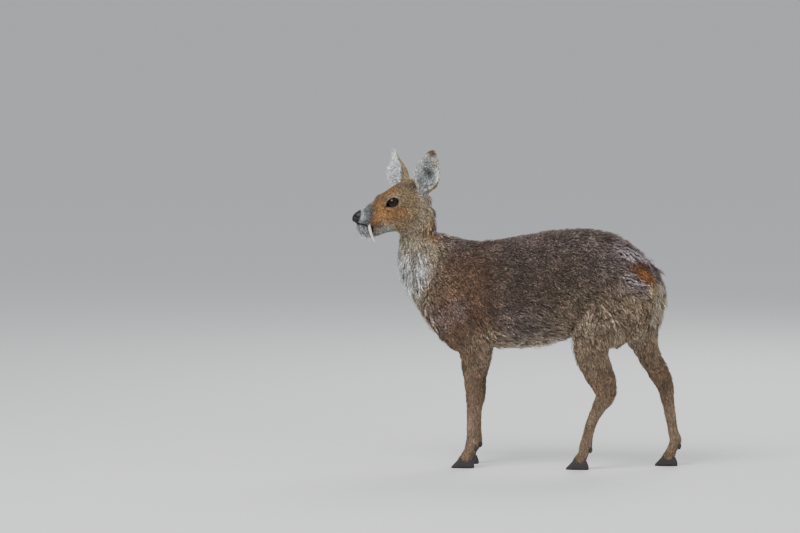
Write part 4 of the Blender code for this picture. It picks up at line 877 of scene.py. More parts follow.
@dataclass
class CoatState:
    """The coat at many points: the lie, sizes and colours of its tufts."""

    lie: Array
    length: Array
    depth: Array
    width: Array
    clump: Array
    root: Array
    base: Array
    tip: Array
    fleck: Array

    def paint(self, tone: Tones, share: Array) -> None:
        """Lays a tone over the coat.

        Args:
            tone: The tone.
            share: How far it covers each point, from 0 to 1.
        """
        part = np.clip(share, 0.0, 1.0)[:, None]
        over = tone.value
        self.root = self.root * (1 - part) + np.array(over.root) * part
        self.base = self.base * (1 - part) + np.array(over.base) * part
        self.tip = self.tip * (1 - part) + np.array(over.tip) * part

    @classmethod
    def from_rows(cls, rows: Array) -> "CoatState":
        """Splits a zone map's rows into named parts.

        Args:
            rows: One row for each point.

        Returns:
            The coat.
        """
        return cls(
            lie=rows[:, 0:3], length=rows[:, 3], depth=rows[:, 4], width=rows[:, 5], clump=rows[:, 6],
            root=rows[:, 7:10], base=rows[:, 10:13], tip=rows[:, 13:16], fleck=rows[:, 16],
        )


class BodyCoat:
    """The coat of everything but the ears."""

    def __init__(self) -> None:
        """Prepares the zones of the body and of the head."""
        self.body = ZoneMap(BODY_ZONES)
        self.head = ZoneMap(HEAD_ZONES)

    def at(self, points: Array, normals: Array) -> CoatState:
        """Finds the coat at the model's points.

        Args:
            points: The points.
            normals: The surface's normals there, which only an ear's coat needs.

        Returns:
            The coat there, with its lie in the model's frame.
        """
        body = self.body.mirrored(points - np.array(CENTRE_SHIFT))
        local = HEAD.to_local(points)
        head = self.head.mirrored(local)
        head[:, 0:3] = head[:, 0:3] @ HEAD.turn.T
        share = HEAD.share(points)[:, None]
        coat = CoatState.from_rows(body * (1 - share) + head * share)
        coat.width = coat.width * (1 - 0.15 * share[:, 0])
        for side in Side:
            self.mark_eye(points, side, coat)
        self.mark_mouth(local, share[:, 0] > 0.5, coat)
        return coat

    @staticmethod
    def mark_eye(points: Array, side: Side, coat: CoatState) -> None:
        """Turns the hair away from an eye, and lays on the pale ring over it, the dark rim and the tear mark.

        Args:
            points: The points.
            side: The side of the head.
            coat: The coat at the points.
        """
        along, height, out = EYE.local(points, side)
        near = (np.hypot(along, height) < 0.036) & (out > -0.004)
        rho = np.where(near, EYE.rho(along, height), 9.0)
        _, _, front, up = (np.array(v) for v in EYE.axes(side))
        away = unit(along[:, None] * front + height[:, None] * up)
        close = bell((np.maximum(rho, 1.0) - 1.0) / 0.4)[:, None]
        coat.lie = coat.lie + away * close * np.where(height > 0, 0.8, 1.6)[:, None]
        coat.length = coat.length * (1 - LID_SHORTENING * close[:, 0])
        upper = smooth_step(height / 0.008 + 0.25) * smooth_step((0.016 - along) / 0.01)
        for tone, strength, ring, wide, above in EYE_RINGS:
            coat.paint(tone, strength * bell((rho - ring) / wide) * (upper if above else 1 - upper))
        coat.paint(Tones.DARK, smooth_step((1.14 - rho) / 0.08))
        x, z, half_length, half_height = TEAR_MARK
        tear = np.hypot((along - EYE.half_length - x) / half_length, (height - z) / half_height)
        coat.paint(Tones.DARK, np.where(near, smooth_step((1.15 - tear) / 0.4), 0.0))

    @staticmethod
    def mark_mouth(local: Array, on_head: Array, coat: CoatState) -> None:
        """Darkens the lips along the mouth's line, paints shade on the lip behind the tusk, and parts the hair
        along it.

        Args:
            local: The points in the head's own frame.
            on_head: Which of them are on the head.
            coat: The coat at the points.
        """
        off, inside = from_mouth(local, on_head)
        coat.lie = coat.lie + HEAD.turn[:, 2] * (np.sign(off) * bell(off / 0.004) * inside)[:, None] * 0.5
        coat.paint(Tones.DARK, smooth_step((0.0026 - np.abs(off)) / 0.0012) * inside)
        corner = np.hypot((local[:, 0] - MOUTH_SHADE[0]) / 0.0068, (local[:, 2] - MOUTH_SHADE[1]) / 0.0062)
        coat.paint(Tones.DARK, smooth_step((1.2 - corner) / 0.4) * on_head)


def from_mouth(local: Array, on_head: Array) -> tuple[Array, Array]:
    """Gives points' height above the line between the lips, and whether they are before its corner, 0 to 1."""
    off = local[:, 2] - np.interp(local[:, 0], *zip(*MOUTH_LINE))
    return off, smooth_step((MOUTH_CORNER - local[:, 0]) / 0.004) * on_head


@dataclass(frozen=True)
class EyeOpening:
    """The sizes of an eye and of the almond-shaped opening between its lids."""

    radius: float = 0.0142
    place: Triple = (-0.0915, 0.0256, 0.6362)
    faces: Triple = (-0.3, 0.94, 0.12)
    half_length: float = 0.014
    half_height: float = 0.0098
    tear_reach: float = 0.004
    slope: float = math.radians(20)
    lid: float = 0.0013
    fold: Triple = (0.0008, 1.42, 0.1)  # depth, and place and width where 1 is the edge of the opening
    sunk: float = 0.004

    def axes(self, side: Side) -> tuple[Vector, Vector, Vector, Vector]:
        """Finds the eye's middle, and the directions out of it, to its front corner and up across it.

        Args:
            side: The side of the head.

        Returns:
            The middle and the three directions.
        """
        mirror = Vector((1, side.value, 1))
        middle = HEAD.point(Vector(self.place) * mirror)
        out = HEAD.way(Vector(self.faces).normalized() * mirror)
        front = HEAD.way((-math.cos(self.slope), 0.0, -math.sin(self.slope)))
        front = (front - out * front.dot(out)).normalized()
        up = front.cross(out)
        return middle, out, front, up if up.z > 0 else -up

    def local(self, points: Array, side: Side) -> tuple[Array, Array, Array]:
        """Gives points as their distance to the front, up and out from the eye's middle.

        Args:
            points: The model's points.
            side: The side of the head.

        Returns:
            The three distances.
        """
        middle, out, front, up = self.axes(side)
        reach = points - np.array(middle)
        return reach @ np.array(front), reach @ np.array(up), reach @ np.array(out)

    def rho(self, along: Array, height: Array) -> Array:
        """Measures how far out points are, where 1 is the edge of the opening.

        Args:
            along: How far to the front the points are.
            height: How far up they are.

        Returns:
            The measure of each point.
        """
        angle = np.arctan2(height / self.half_height, along / self.half_length)
        cosine = np.cos(angle)
        edge_x = cosine * self.half_length + np.maximum(cosine, 0.0) ** 4 * self.tear_reach
        edge_y = np.sin(angle) * self.half_height * (1 - 0.35 * np.abs(cosine) ** 3)
        return np.hypot(along, height) / np.maximum(np.hypot(edge_x, edge_y), 1e-6)


EYE = EyeOpening()


@dataclass
class Skin:
    """The one skin under the coat, with the lids, the mouth, the nostrils and the folds between them."""

    voxel: float = 0.0036
    smoothing: int = 7
    under_coat: float = 0.85
    leg_end: float = 0.0215
    groove: tuple[float, float] = (0.0012, 0.0026)  # width and depth, as for the parting
    lip_height: float = 0.0006
    nose_height: float = 0.0004
    nostril: Triple = (-0.18, 0.0078, 0.6022)
    nostril_depth: float = 0.0055
    slit_depth: float = 0.0022
    parting: tuple[float, float] = (0.0008, 0.0012)
    brow_hollow: Triple = (-0.112, 0.018, 0.657)
    brow_reach: Triple = (0.012, 0.009, 0.01)
    brow_depth: float = 0.004
    piece: Object | None = None
    bare: Array = field(default_factory=lambda: np.zeros(0))

    def build(self) -> Object:
        """Fuses the forms, refines the face, sets the skin in under the coat and shapes the face.

        Returns:
            The skin.
        """
        piece = bpy.data.objects.new("skin", self.forms().to_mesh("skin"))
        bpy.context.scene.collection.objects.link(piece)
        remesh = piece.modifiers.new("skin", "REMESH")
        remesh.mode = "VOXEL"
        remesh.voxel_size = self.voxel
        graph = bpy.context.evaluated_depsgraph_get()
        mesh = bpy.data.meshes.new_from_object(piece.evaluated_get(graph))
        piece.modifiers.clear()
        piece.data = mesh
        mesh.name = "skin"
        relax(mesh, self.smoothing)
        self.refine(mesh)
        self.set_in(mesh)
        self.shape_face(mesh)
        mesh.shade_smooth()
        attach(piece, ROOT)
        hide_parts(*FLESH)
        self.piece = piece
        return piece

    def forms(self) -> Forms:
        """Draws the animal's forms.

        Returns:
            The forms.
        """
        forms = Forms()
        body = Matrix.Translation(CENTRE_SHIFT)
        forms.sections(TORSO, body)
        forms.sections(NECK, body)
        forms.limb(FORELEG, Side.LEFT, body)
        forms.limb(FORELEG, Side.RIGHT, body, FAR_FORELEG_BACK)
        forms.limb(HIND_LEG_FORWARD, Side.LEFT, body)
        forms.limb(HIND_LEG_BACK, Side.RIGHT, body)
        forms.limb(TAIL, Side.RIGHT, body)
        for sections in (SKULL, JAW, NOSE):
            forms.sections(sections, HEAD.matrix)
        for (x, y, z), radii in HEAD_FORMS:
            for side in Side:
                forms.ellipsoid((x, y * side.value, z), radii, HEAD.matrix)
        return forms

    def refine(self, mesh: Mesh) -> None:
        """Makes the mesh finer on the head, and finer again round the eyes, nose and mouth.

        Args:
            mesh: The skin's mesh.
        """
        for stage in range(2):
            points = mesh_points(mesh)
            local = HEAD.to_local(points)
            if stage == 0:
                wanted = (HEAD.share(points) > 0.5) & (local[:, 2] > 0.54)
            else:
                muzzle = local[:, 0] < -0.118
                eyes = np.zeros(len(points), bool)
                for side in Side:
                    along, height, out = EYE.local(points, side)
                    eyes |= (np.hypot(along, height) < 0.026) & (out > -0.004)
                wanted = (muzzle | eyes) & (HEAD.share(points) > 0.5) & (local[:, 2] > 0.54)
            bm = bmesh.new()
            bm.from_mesh(mesh)
            bm.verts.ensure_lookup_table()
            faces = [f for f in bm.faces if all(wanted[v.index] for v in f.verts)]
            edges = list({e for f in faces for e in f.edges})
            bmesh.ops.subdivide_edges(bm, edges=edges, cuts=1, use_grid_fill=True)
            bm.to_mesh(mesh)
            bm.free()
            points = mesh_points(mesh)
            share = HEAD.share(points)
            if stage == 1:
                share = share * smooth_step((-0.05 - HEAD.to_local(points)[:, 0]) / 0.02)
            relax(mesh, 4, share)

    def set_in(self, mesh: Mesh) -> None:
        """Moves the skin in by the depth of the coat, and ends the legs flat above the hooves.

        Args:
            mesh: The skin's mesh.
        """
        points, normals = mesh_points(mesh), mesh_normals(mesh)
        local = HEAD.to_local(points)
        depth = BodyCoat().at(points, normals).depth * (1 - self.bare_nose(local))
        depth *= smooth_step((points[:, 2] - 0.018) / 0.01) * 0.8 + 0.2
        points = points - normals * (depth * self.under_coat)[:, None]
        points[:, 2] = np.maximum(points[:, 2], self.leg_end)
        set_points(mesh, points)

    def shape_face(self, mesh: Mesh) -> None:
        """Shapes the lids, the tear marks, the mouth and the nostrils, and notes where the skin stays bare.

        Args:
            mesh: The skin's mesh.
        """
        points = mesh_points(mesh)
        bare = np.zeros(len(points))
        for side in Side:
            points, opening = self.shape_lids(points, side)
            bare = np.maximum(bare, opening)
        set_points(mesh, points)
        points, normals = mesh_points(mesh), mesh_normals(mesh)
        local = HEAD.to_local(points)
        off, inside = from_mouth(local, HEAD.share(points) > 0.5)
        groove = bell(off / self.groove[0]) * inside
        lips = (bell((off - 0.0032) / 0.0018) + bell((off + 0.0032) / 0.002)) * inside
        points += normals * (self.lip_height * lips - self.groove[1] * groove)[:, None]
        nose = self.bare_nose(local)
        points += normals * (self.nose_height * nose)[:, None]
        for side in Side:
            mirror = np.array((1, side.value, 1))
            reach = local - np.array(self.nostril) * mirror
            curl = reach[:, 2] - 0.35 * np.abs(reach[:, 0] + 0.002)
            hole = bell(reach[:, 1] / 0.0032) * bell(curl / 0.0026) * (np.abs(reach[:, 0]) < 0.01)
            slit = reach[:, 1] * side.value - 0.0045
            tail = bell(slit / 0.004) * bell((reach[:, 2] + 0.0012) / 0.0011)
            points -= np.array(HEAD.way((-1, 0, 0))) * (self.nostril_depth * hole)[:, None]
            points -= normals * (self.slit_depth * tail * (np.abs(reach[:, 0]) < 0.012))[:, None]
            hollow = bell((local - np.array(self.brow_hollow) * mirror) / np.array(self.brow_reach)).prod(axis=1)
            points -= normals * (self.brow_depth * hollow)[:, None]
        middle = bell(local[:, 1] / self.parting[0]) * nose * smooth_step((0.6 - local[:, 2]) / 0.004)
        points -= normals * (self.parting[1] * middle)[:, None]
        set_points(mesh, points)
        self.bare = np.maximum(np.maximum(bare, nose), groove > 0.45)
        self.nose = nose
        self.dark = np.maximum(bare, groove)

    @staticmethod
    def bare_nose(local: Array) -> Array:
        """Says how far points of the head's frame belong to the bare nose, from 0 to 1.

        Args:
            local: The points.

        Returns:
            The share for each point.
        """
        back, height, slant = NOSE_EDGE
        edge = back - slant * (height - local[:, 2])
        return smooth_step((edge - local[:, 0]) / 0.0025) * smooth_step((local[:, 2] - 0.5858) / 0.0018)

    def shape_lids(self, points: Array, side: Side) -> tuple[Array, Array]:
        """Raises the lids round one eye and sinks the opening between them behind the eyeball.

        Args:
            points: The skin's points.
            side: The side of the head.

        Returns:
            The moved points, and where they lie in or at the opening, from 0 to 1.
        """
        along, height, out = EYE.local(points, side)
        near = (np.hypot(along, height) < 0.03) & (out > -0.002)
        rho = EYE.rho(along, height)
        ball = np.sqrt(np.maximum(EYE.radius**2 - along**2 - height**2, (0.3 * EYE.radius) ** 2))
        rim = np.maximum(ball + EYE.lid, out - 0.0022)
        close = bell(np.maximum(rho - 1.0, 0.0) / 0.3)
        deep, place, wide = EYE.fold
        fold = deep * bell((rho - place) / wide) * smooth_step(height / 0.004 + 0.3)
        lid = out * (1 - close) + rim * close - fold
        sunk = ball - EYE.sunk
        inner = smooth_step((1.0 - rho) / 0.14)
        shaped = np.where(rho >= 1.0, lid, rim * (1 - inner) + sunk * inner)
        axis = np.array(EYE.axes(side)[1])
        moved = points + (np.where(near, shaped - out, 0.0))[:, None] * axis
        return moved, np.where(near, smooth_step((1.16 - rho) / 0.12), 0.0)

    def dress(self, finish: "CoatFinish") -> None:
        """Colours the skin with the coat's own markings and gives it its material and unwrap.

        Args:
            finish: The coat's finish.
        """
        mesh = self.piece.data
        points, normals = mesh_points(mesh), mesh_normals(mesh)
        coat = BodyCoat().at(points, normals)
        colours = coat.root * 0.5 + coat.base * 0.5
        for tone, share in ((LID_TONE, self.dark[:, None]), (NOSE_TONE, self.nose[:, None])):
            colours = colours * (1 - share) + np.array(tone) * share
        set_colours(mesh, COAT_ATTRIBUTE, colours)
        layer = mesh.attributes.new(NOSE_ATTRIBUTE, "FLOAT", "POINT")
        layer.data.foreach_set("value", np.maximum(self.nose, self.dark * 0.6).astype(np.float32))
        mesh.materials.clear()
        mesh.materials.append(finish.build())
        unwrap(self.piece)


def unwrap(piece: Object) -> None:
    """Unwraps a piece by its own shape into the map that its colours are baked on.

    Args:
        piece: The piece.
    """
    mesh = piece.data
    while mesh.uv_layers:
        mesh.uv_layers.remove(mesh.uv_layers[0])
    mesh.uv_layers.new(name=BAKE_MAP)
    bpy.ops.object.select_all(action="DESELECT")
    bpy.context.view_layer.objects.active = piece
    piece.select_set(True)
    bpy.ops.object.mode_set(mode="EDIT")
    bpy.ops.mesh.select_all(action="SELECT")
    bpy.ops.uv.smart_project(angle_limit=math.radians(66), island_margin=0.002)
    bpy.ops.object.mode_set(mode="OBJECT")
    piece.select_set(False)


@dataclass
class Surface:
    """A mesh's triangles, ready to have tufts sown on them."""

    points: Array
    normals: Array
    uvs: Array
    areas: Array
    bare: Array

    @classmethod
    def of(cls, piece: Object, bare: Array | None = None) -> "Surface":
        """Reads a piece's triangles.

        Args:
            piece: The piece, already unwrapped.
            bare: How bare each of its points is, from 0 to 1.

        Returns:
            The surface.
        """
        mesh = piece.data
        mesh.calc_loop_triangles()
        corners = read(mesh.loop_triangles, "vertices", 3, np.int32)
        uvs = read(mesh.uv_layers[BAKE_MAP].data, "uv", 2)[read(mesh.loop_triangles, "loops", 3, np.int32)]
        points, normals = mesh_points(mesh)[corners], mesh_normals(mesh)[corners]
        areas = np.linalg.norm(np.cross(points[:, 1] - points[:, 0], points[:, 2] - points[:, 0]), axis=1) / 2
        bald = np.zeros(len(corners)) if bare is None else bare[corners].max(axis=1)
        return cls(points, normals, uvs, areas, bald)


@dataclass
class Tufts:
    """Many tufts of hair: where they root, how they lie and their colours."""

    roots: Array
    normals: Array
    uvs: Array
    ways: Array
    coat: CoatState

    def take(self, chosen: Array) -> "Tufts":
        """Picks out some of the tufts."""
        coat = CoatState(**{name: value[chosen] for name, value in vars(self.coat).items()})
        return Tufts(self.roots[chosen], self.normals[chosen], self.uvs[chosen], self.ways[chosen], coat)


def waves(points: Array, size: float, seed: int) -> Array:
    """Makes a smooth ruffle over space from a few crossing waves.

    Args:
        points: Where to read it.
        size: The distance between crests.
        seed: Which ruffle it is.

    Returns:
        A number for each point, mostly between -1 and 1.
    """
    chance = np.random.default_rng(seed)
    total = np.zeros(len(points))
    for _ in range(5):
        ahead = unit(chance.normal(size=3)) * 2 * math.pi / (size * chance.uniform(0.7, 1.4))
        total += np.sin(points @ ahead + chance.uniform(0, 2 * math.pi))
    return total / 2.2


# A tuft is a thin closed wedge of seven points: three round its root, three round its middle, and its tip
WEDGE_FACES = np.array([
    (0, 2, 1), (0, 1, 4), (0, 4, 3), (1, 2, 5), (1, 5, 4), (2, 0, 3), (2, 3, 5), (3, 4, 6), (4, 5, 6), (5, 3, 6),
])
WEDGE_SPREAD = np.array(((-0.5, 0), (0.5, 0), (0, 0.1), (-0.4, 0.5), (0.4, 0.5), (0, 0.55), (0, 1.0)))


def wedges(roots: Array, middles: Array, tips: Array, side: Array, thick: Array) -> Array:
    """Draws thin closed wedges.

    Args:
        roots: Where each starts.
        middles: Where each is widest.
        tips: Where each ends.
        side: From each one's middle line to its edge.
        thick: From its base to its ridge.

    Returns:
        Seven points for each.
    """
    rings = [
        roots - side * 0.8, roots + side * 0.8, roots + thick,
        middles - side, middles + side, middles + thick, tips,
    ]
    return np.stack(rings, axis=1).reshape(-1, 3)


def tube_faces(rings: int, sides: int) -> Array:
    """Gives the triangles of a tube of rings of points, which one more point closes at its far end.

    Args:
        rings: How many rings it has.
        sides: How many points each ring has.

    Returns:
        The triangles.
    """
    ring, k = np.divmod(np.arange((rings - 1) * sides), sides)
    one, two = ring * sides + k, ring * sides + (k + 1) % sides
    walls = np.stack([one, two, two + sides, one, two + sides, one + sides], axis=1)
    end = (rings - 1) * sides + np.arange(sides)
    tip = np.stack([end, np.roll(end, -1), np.full(sides, rings * sides)], axis=1)
    return np.concatenate([walls.reshape(-1, 3), tip])


def wedge_faces(count: int) -> Array:
    """Gives the faces of a number of wedges."""
    return (WEDGE_FACES[None] + 7 * np.arange(count)[:, None, None]).reshape(-1, 3)


def wedge_colours(root: Array, base: Array, tip: Array) -> Array:
    """Gives the colour of each point of the wedges."""
    return np.clip(np.stack([root] * 3 + [base] * 3 + [tip], axis=1).reshape(-1, 3), 0.0, 1.0)


def wedge_uvs(uvs: Array, patch: float) -> Array:
    """Gives each wedge a small patch of the bake map at its root's place."""
    return np.clip(uvs[:, None] + (WEDGE_SPREAD * patch)[None], 0.0, 1.0).reshape(-1, 2)


def wedge_piece(name: str, points: Array, faces: Array, colours: Array, uvs: Array) -> Object:
    """Makes a piece from wedges.

    Args:
        name: The piece's name.
        points: Its points.
        faces: Its faces.
        colours: The colour of each point.
        uvs: The place of each point on the bake map.

    Returns:
        The piece.
    """
    mesh = new_mesh(name, points, faces)
    set_colours(mesh, COAT_ATTRIBUTE, colours)
    layer = mesh.uv_layers.new(name=BAKE_MAP)
    layer.data.foreach_set("uv", uvs[faces.ravel()].astype(np.float32).ravel())
    return add_piece(name, mesh)


@dataclass
class Coat:
    """Sows tufts over a surface and makes them into pieces."""

    surface: Surface
    state: Callable[[Array, Array], CoatState]
    count: int
    finish: "CoatFinish"
    slot: str
    seed: int = SEED
    most_in_piece: int = 19500
    patch: float = 0.003
    clump_size: float = 0.011
    in_clump: int = 24
    stray: float = 0.11
    sway: float = 0.09
    lengths: tuple[float, float] = (0.72, 1.18)
    widths: tuple[float, float] = (0.75, 1.25)
    thickness: float = 0.55
    root_depth: float = 0.0006
    lowest: float = 0.002
    swirl_size: float = 0.055
    ruffle_size: float = 0.03
    shade_size: float = 0.06

    def sow(self) -> Tufts:
        """Chooses a place for each tuft, closer together where tufts are small.

        Returns:
            The tufts.
        """
        chance = np.random.default_rng(self.seed)
        surface = self.surface
        middles = surface.points.mean(axis=1)
        sizes = self.state(middles, surface.normals.mean(axis=1))
        weight = surface.areas / (sizes.length * sizes.width) * (surface.bare < 0.5)
        total = np.cumsum(weight)
        picked = np.searchsorted(total, chance.random(self.count) * total[-1])
        picked = np.minimum(picked, len(total) - 1)
        shares = chance.random((self.count, 2))
        flip = shares.sum(axis=1) > 1
        shares[flip] = 1 - shares[flip]
        weights = np.column_stack([1 - shares.sum(axis=1), shares])[:, :, None]
        roots = (surface.points[picked] * weights).sum(axis=1)
        normals = unit((surface.normals[picked] * weights).sum(axis=1))
        uvs = (surface.uvs[picked] * weights).sum(axis=1)
        coat = self.state(roots, normals)
        lie = coat.lie + chance.normal(0.0, self.stray, coat.lie.shape)
        ways = unit(lie - normals * (lie * normals).sum(axis=1, keepdims=True))
        return Tufts(roots, normals, uvs, ways, coat)

    def clumped(self, tufts: Tufts, tips: Array) -> tuple[Array, Array]:
        """Draws the tips of neighbouring tufts together, and shades the hair in streaks along its lie.

        Args:
            tufts: The tufts.
            tips: Where each tuft ends.

        Returns:
            Where each tuft ends in its clump, and how light its streak is, mostly between -2 and 2.
        """
        chance = np.random.default_rng(self.seed + 1)
        some = chance.choice(len(tips), max(len(tips) // self.in_clump, 1), replace=False)
        tree = KDTree(len(some))
        for place, index in enumerate(some):
            tree.insert(tufts.roots[index], place)
        tree.balance()
        nearest = np.array([tree.find(root)[1] for root in tufts.roots])
        pull = tips[some][nearest] - tips
        far = np.linalg.norm(pull, axis=1, keepdims=True)
        pull *= np.minimum(1.0, self.clump_size / np.maximum(far, 1e-9))
        ahead = tufts.roots + tufts.ways * (tufts.coat.length * chance.uniform(-0.8, 0.8, len(tips)))[:, None]
        streak = chance.normal(0.0, 1.0, len(some))[[tree.find(place)[1] for place in ahead]]
        return tips + pull * tufts.coat.clump[:, None], streak[:, None]

    def shape(self, tufts: Tufts) -> tuple[Array, Array, Array, Array]:
        """Draws the tufts as thin closed wedges that rise from the skin and lie back along it.

        Args:
            tufts: The tufts.

        Returns:
            Their points, faces, colours and places on the bake map.
        """
        chance = np.random.default_rng(self.seed + 2)
        count = len(tufts.roots)
        coat = tufts.coat
        clump = coat.clump[:, None]
        swirl = waves(tufts.roots, self.swirl_size, self.seed)[:, None] * (0.08 + 0.24 * clump)
        across = unit(np.cross(tufts.normals, tufts.ways))
        ways = tufts.ways * np.cos(swirl) + across * np.sin(swirl)
        across = unit(np.cross(tufts.normals, ways))
        length = (coat.length * chance.uniform(*self.lengths, count))[:, None]
        width = (coat.width * chance.uniform(*self.widths, count))[:, None] / 2
        ragged = coat.clump * 0.5
        rise = (coat.depth * chance.uniform(0.6 - ragged, 1.15 + ragged))[:, None]
        rise *= 1 + 0.5 * clump * waves(tufts.roots, self.ruffle_size, self.seed + 5)[:, None]
        sway = chance.normal(0.0, self.sway, (count, 1)) * length
        reach = 0.72 - 0.16 * clump
        roots = tufts.roots - tufts.normals * self.root_depth
        middles = roots + ways * length * reach + tufts.normals * rise * 0.82 + across * sway * 0.5
        tips = roots + ways * length * 0.98 + tufts.normals * rise + across * sway
        tips, streak = self.clumped(tufts, tips)
        points = wedges(roots, middles, tips, across * width, tufts.normals * width * self.thickness)
        points[:, 2] = np.maximum(points[:, 2], self.lowest)
        pale = (chance.random(count) < coat.fleck)[:, None]
        grain = np.interp(coat.length, (0.006, 0.018), (0.1, 0.2))[:, None] * chance.normal(0.0, 1.0, (count, 1))
        light = np.exp(grain + 0.16 * streak + 0.12 * waves(tufts.roots, self.shade_size, self.seed + 9)[:, None])
        base = np.where(pale, coat.base * 1.1, coat.base * 0.85) * light
        calm = np.interp(coat.length, (0.006, 0.014, 0.018), (0.5, 0.8, 1.0))[:, None]
        tip = np.where(pale, coat.base + (coat.tip - coat.base) * calm, coat.base * 0.7) * light
        return points, wedge_faces(count), wedge_colours(coat.root, base, tip), wedge_uvs(tufts.uvs, self.patch)

    def build(self, name: str) -> list[Object]:
        """Makes the coat in as many pieces as it needs.

        Args:
            name: The start of each piece's name.

        Returns:
            The pieces.
        """
        tufts = self.sow()
        tufts = tufts.take(np.argsort(tufts.roots[:, 0], kind="stable"))
        material = self.finish.build()
        pieces = []
        parts = max(1, math.ceil(self.count / self.most_in_piece))
        for number, chosen in enumerate(np.array_split(np.arange(self.count), parts)):
            piece = wedge_piece(f"{name}_{number + 1}", *self.shape(tufts.take(chosen)))
            piece.data.materials.append(material)
            pieces.append(piece)
        return pieces


@dataclass
class Bend:
    """The bend that the strands of one lock share."""

    root: Array
    way: Array
    out: Array
    length: float
    depth: float
    lift: float
    curl: float
    drift: float
    spread: Array
    turn: Array

    def at(self, share: Array) -> Array:
        """Finds a place on each strand.

        Args:
            share: How far along the lock each place is, from 0 to 1.

        Returns:
            The places.
        """
        aside = unit(np.cross(self.out, self.way))
        taper = self.spread * (1 - share) ** 0.75
        high = self.depth * smooth_step(share / 0.4) + self.lift * np.sin(math.pi * share) + self.curl * share**3
        high = high + taper * (0.5 + 0.5 * np.sin(self.turn)) - 0.001 * (1 - share)
        across = taper * np.cos(self.turn) + self.drift * share**2
        along = np.outer(share * self.length, self.way)
        return self.root + along + np.outer(high, self.out) + np.outer(across, aside)


@dataclass
class Locks:
    """Separate locks that stand out of the coat, each of many strands that close to one tip."""

    skin: Object
    finish: "CoatFinish"
    strands: int = 30
    width: float = 0.0013
    patch: float = 0.003
    coat: BodyCoat = field(default_factory=BodyCoat)
    chance: np.random.Generator = field(default_factory=lambda: np.random.default_rng(SEED + 40))

    def build(self) -> Object:
        """Makes all the locks as one piece.

        Returns:
            The piece.
        """
        tree = BVHTree.FromObject(self.skin, bpy.context.evaluated_depsgraph_get())
        places = self.bake_places()
        made = []
        for rows, matrix in ((LOCK_ROWS, Matrix.Translation(CENTRE_SHIFT)), (CHIN_ROWS, HEAD.matrix)):
            for row in rows:
                for side in Side:
                    for share in np.linspace(0, 1, row.count):
                        bend, face = self.bend(row, share, side, matrix, tree)
                        made.append(self.lock(row, bend, places[face]))
        roots, middles, tips, edge, thick, *colours, uvs = (np.concatenate(part) for part in zip(*made))
        points = wedges(roots, middles, tips, edge, thick)
        piece = wedge_piece(
            "locks", points, wedge_faces(len(roots)), wedge_colours(*colours), wedge_uvs(uvs, self.patch)
        )
        piece.data.materials.append(self.finish.build())
        return piece

    def bake_places(self) -> Array:
        """Reads the place on the bake map of each of the skin's faces.

        Returns:
            One place for each face.
        """
        mesh = self.skin.data
        starts = read(mesh.polygons, "loop_start", 1, np.int32)[:, 0]
        return read(mesh.uv_layers[BAKE_MAP].data, "uv", 2)[starts]

    def bend(self, row: LockRow, share: float, side: Side, matrix: Matrix, tree: BVHTree) -> tuple[Bend, int]:
        """Roots a lock on the skin and bends it.

        Args:
            row: The lock's row.
            share: How far along the row it is, from 0 to 1.
            side: The side of the animal.
            matrix: The frame that the row is given in.
            tree: The skin's faces.

        Returns:
            The lock's bend and the face that it roots on.
        """
        mirror = np.array((1, side.value, 1))
        chance = self.chance
        start = (np.array(row.start) * (1 - share) + np.array(row.end) * share) / 1000 + chance.normal(0, 0.004, 3)
        root, out, face, _ = tree.find_nearest(matrix @ Vector(start * mirror))
        out = np.array(out)
        way = np.array(matrix.to_3x3() @ Vector(np.array(row.way) * mirror)) + chance.normal(0, 0.12, 3)
        length = row.length / 1000 * chance.uniform(0.75, 1.2)
        spread = np.sqrt(chance.random(self.strands)) * row.radius / 1000
        depth = self.coat.at(np.array([root]), out[None]).depth[0] * 0.9
        bend = Bend(
            np.array(root), unit(way - out * (way @ out)), out, length, depth, row.lift / 1000, row.curl / 1000,
            chance.normal(0, 0.1) * length, spread, chance.uniform(0, 2 * math.pi, self.strands),
        )
        return bend, face

    def lock(self, row: LockRow, bend: Bend, place: Array) -> tuple[Array, ...]:
        """Lays a lock's strands along its bend.

        Args:
            row: The lock's row.
            bend: The lock's bend.
            place: Its root's place on the bake map.

        Returns:
            Each strand's root, middle, tip, half width, thickness, three colours and place on the bake map.
        """
        chance = self.chance
        first = chance.uniform(0.0, 0.62, self.strands)
        first[: self.strands // 5] = 0.0
        last = np.minimum(first + chance.uniform(0.36, 0.52, self.strands), 1.0)
        half = self.width * chance.uniform(0.8, 1.2, self.strands) / 2
        tone = row.tone.value
        light = np.exp(chance.normal(0.0, 0.2, (self.strands, 1)) + chance.normal(0.0, 0.12))
        late = last[:, None] ** 2
        base = (np.array(tone.base) * (1 - late) + np.array(tone.tip) * late * 0.85) * light
        return (
            bend.at(first), bend.at(first * 0.45 + last * 0.55), bend.at(last),
            np.outer(half, unit(np.cross(bend.out, bend.way))), np.outer(half * 0.55, bend.out),
            np.tile(np.array(tone.root), (self.strands, 1)), base, np.array(tone.tip) * light,
            np.tile(place, (self.strands, 1)),
        )


@dataclass(frozen=True)
class BristleRow:
    """A row of single stiff hairs in the head's own frame, on both sides of the face."""

    start: Triple
    end: Triple
    count: int
    way: Triple
    length: float
    radius: float
    droop: float


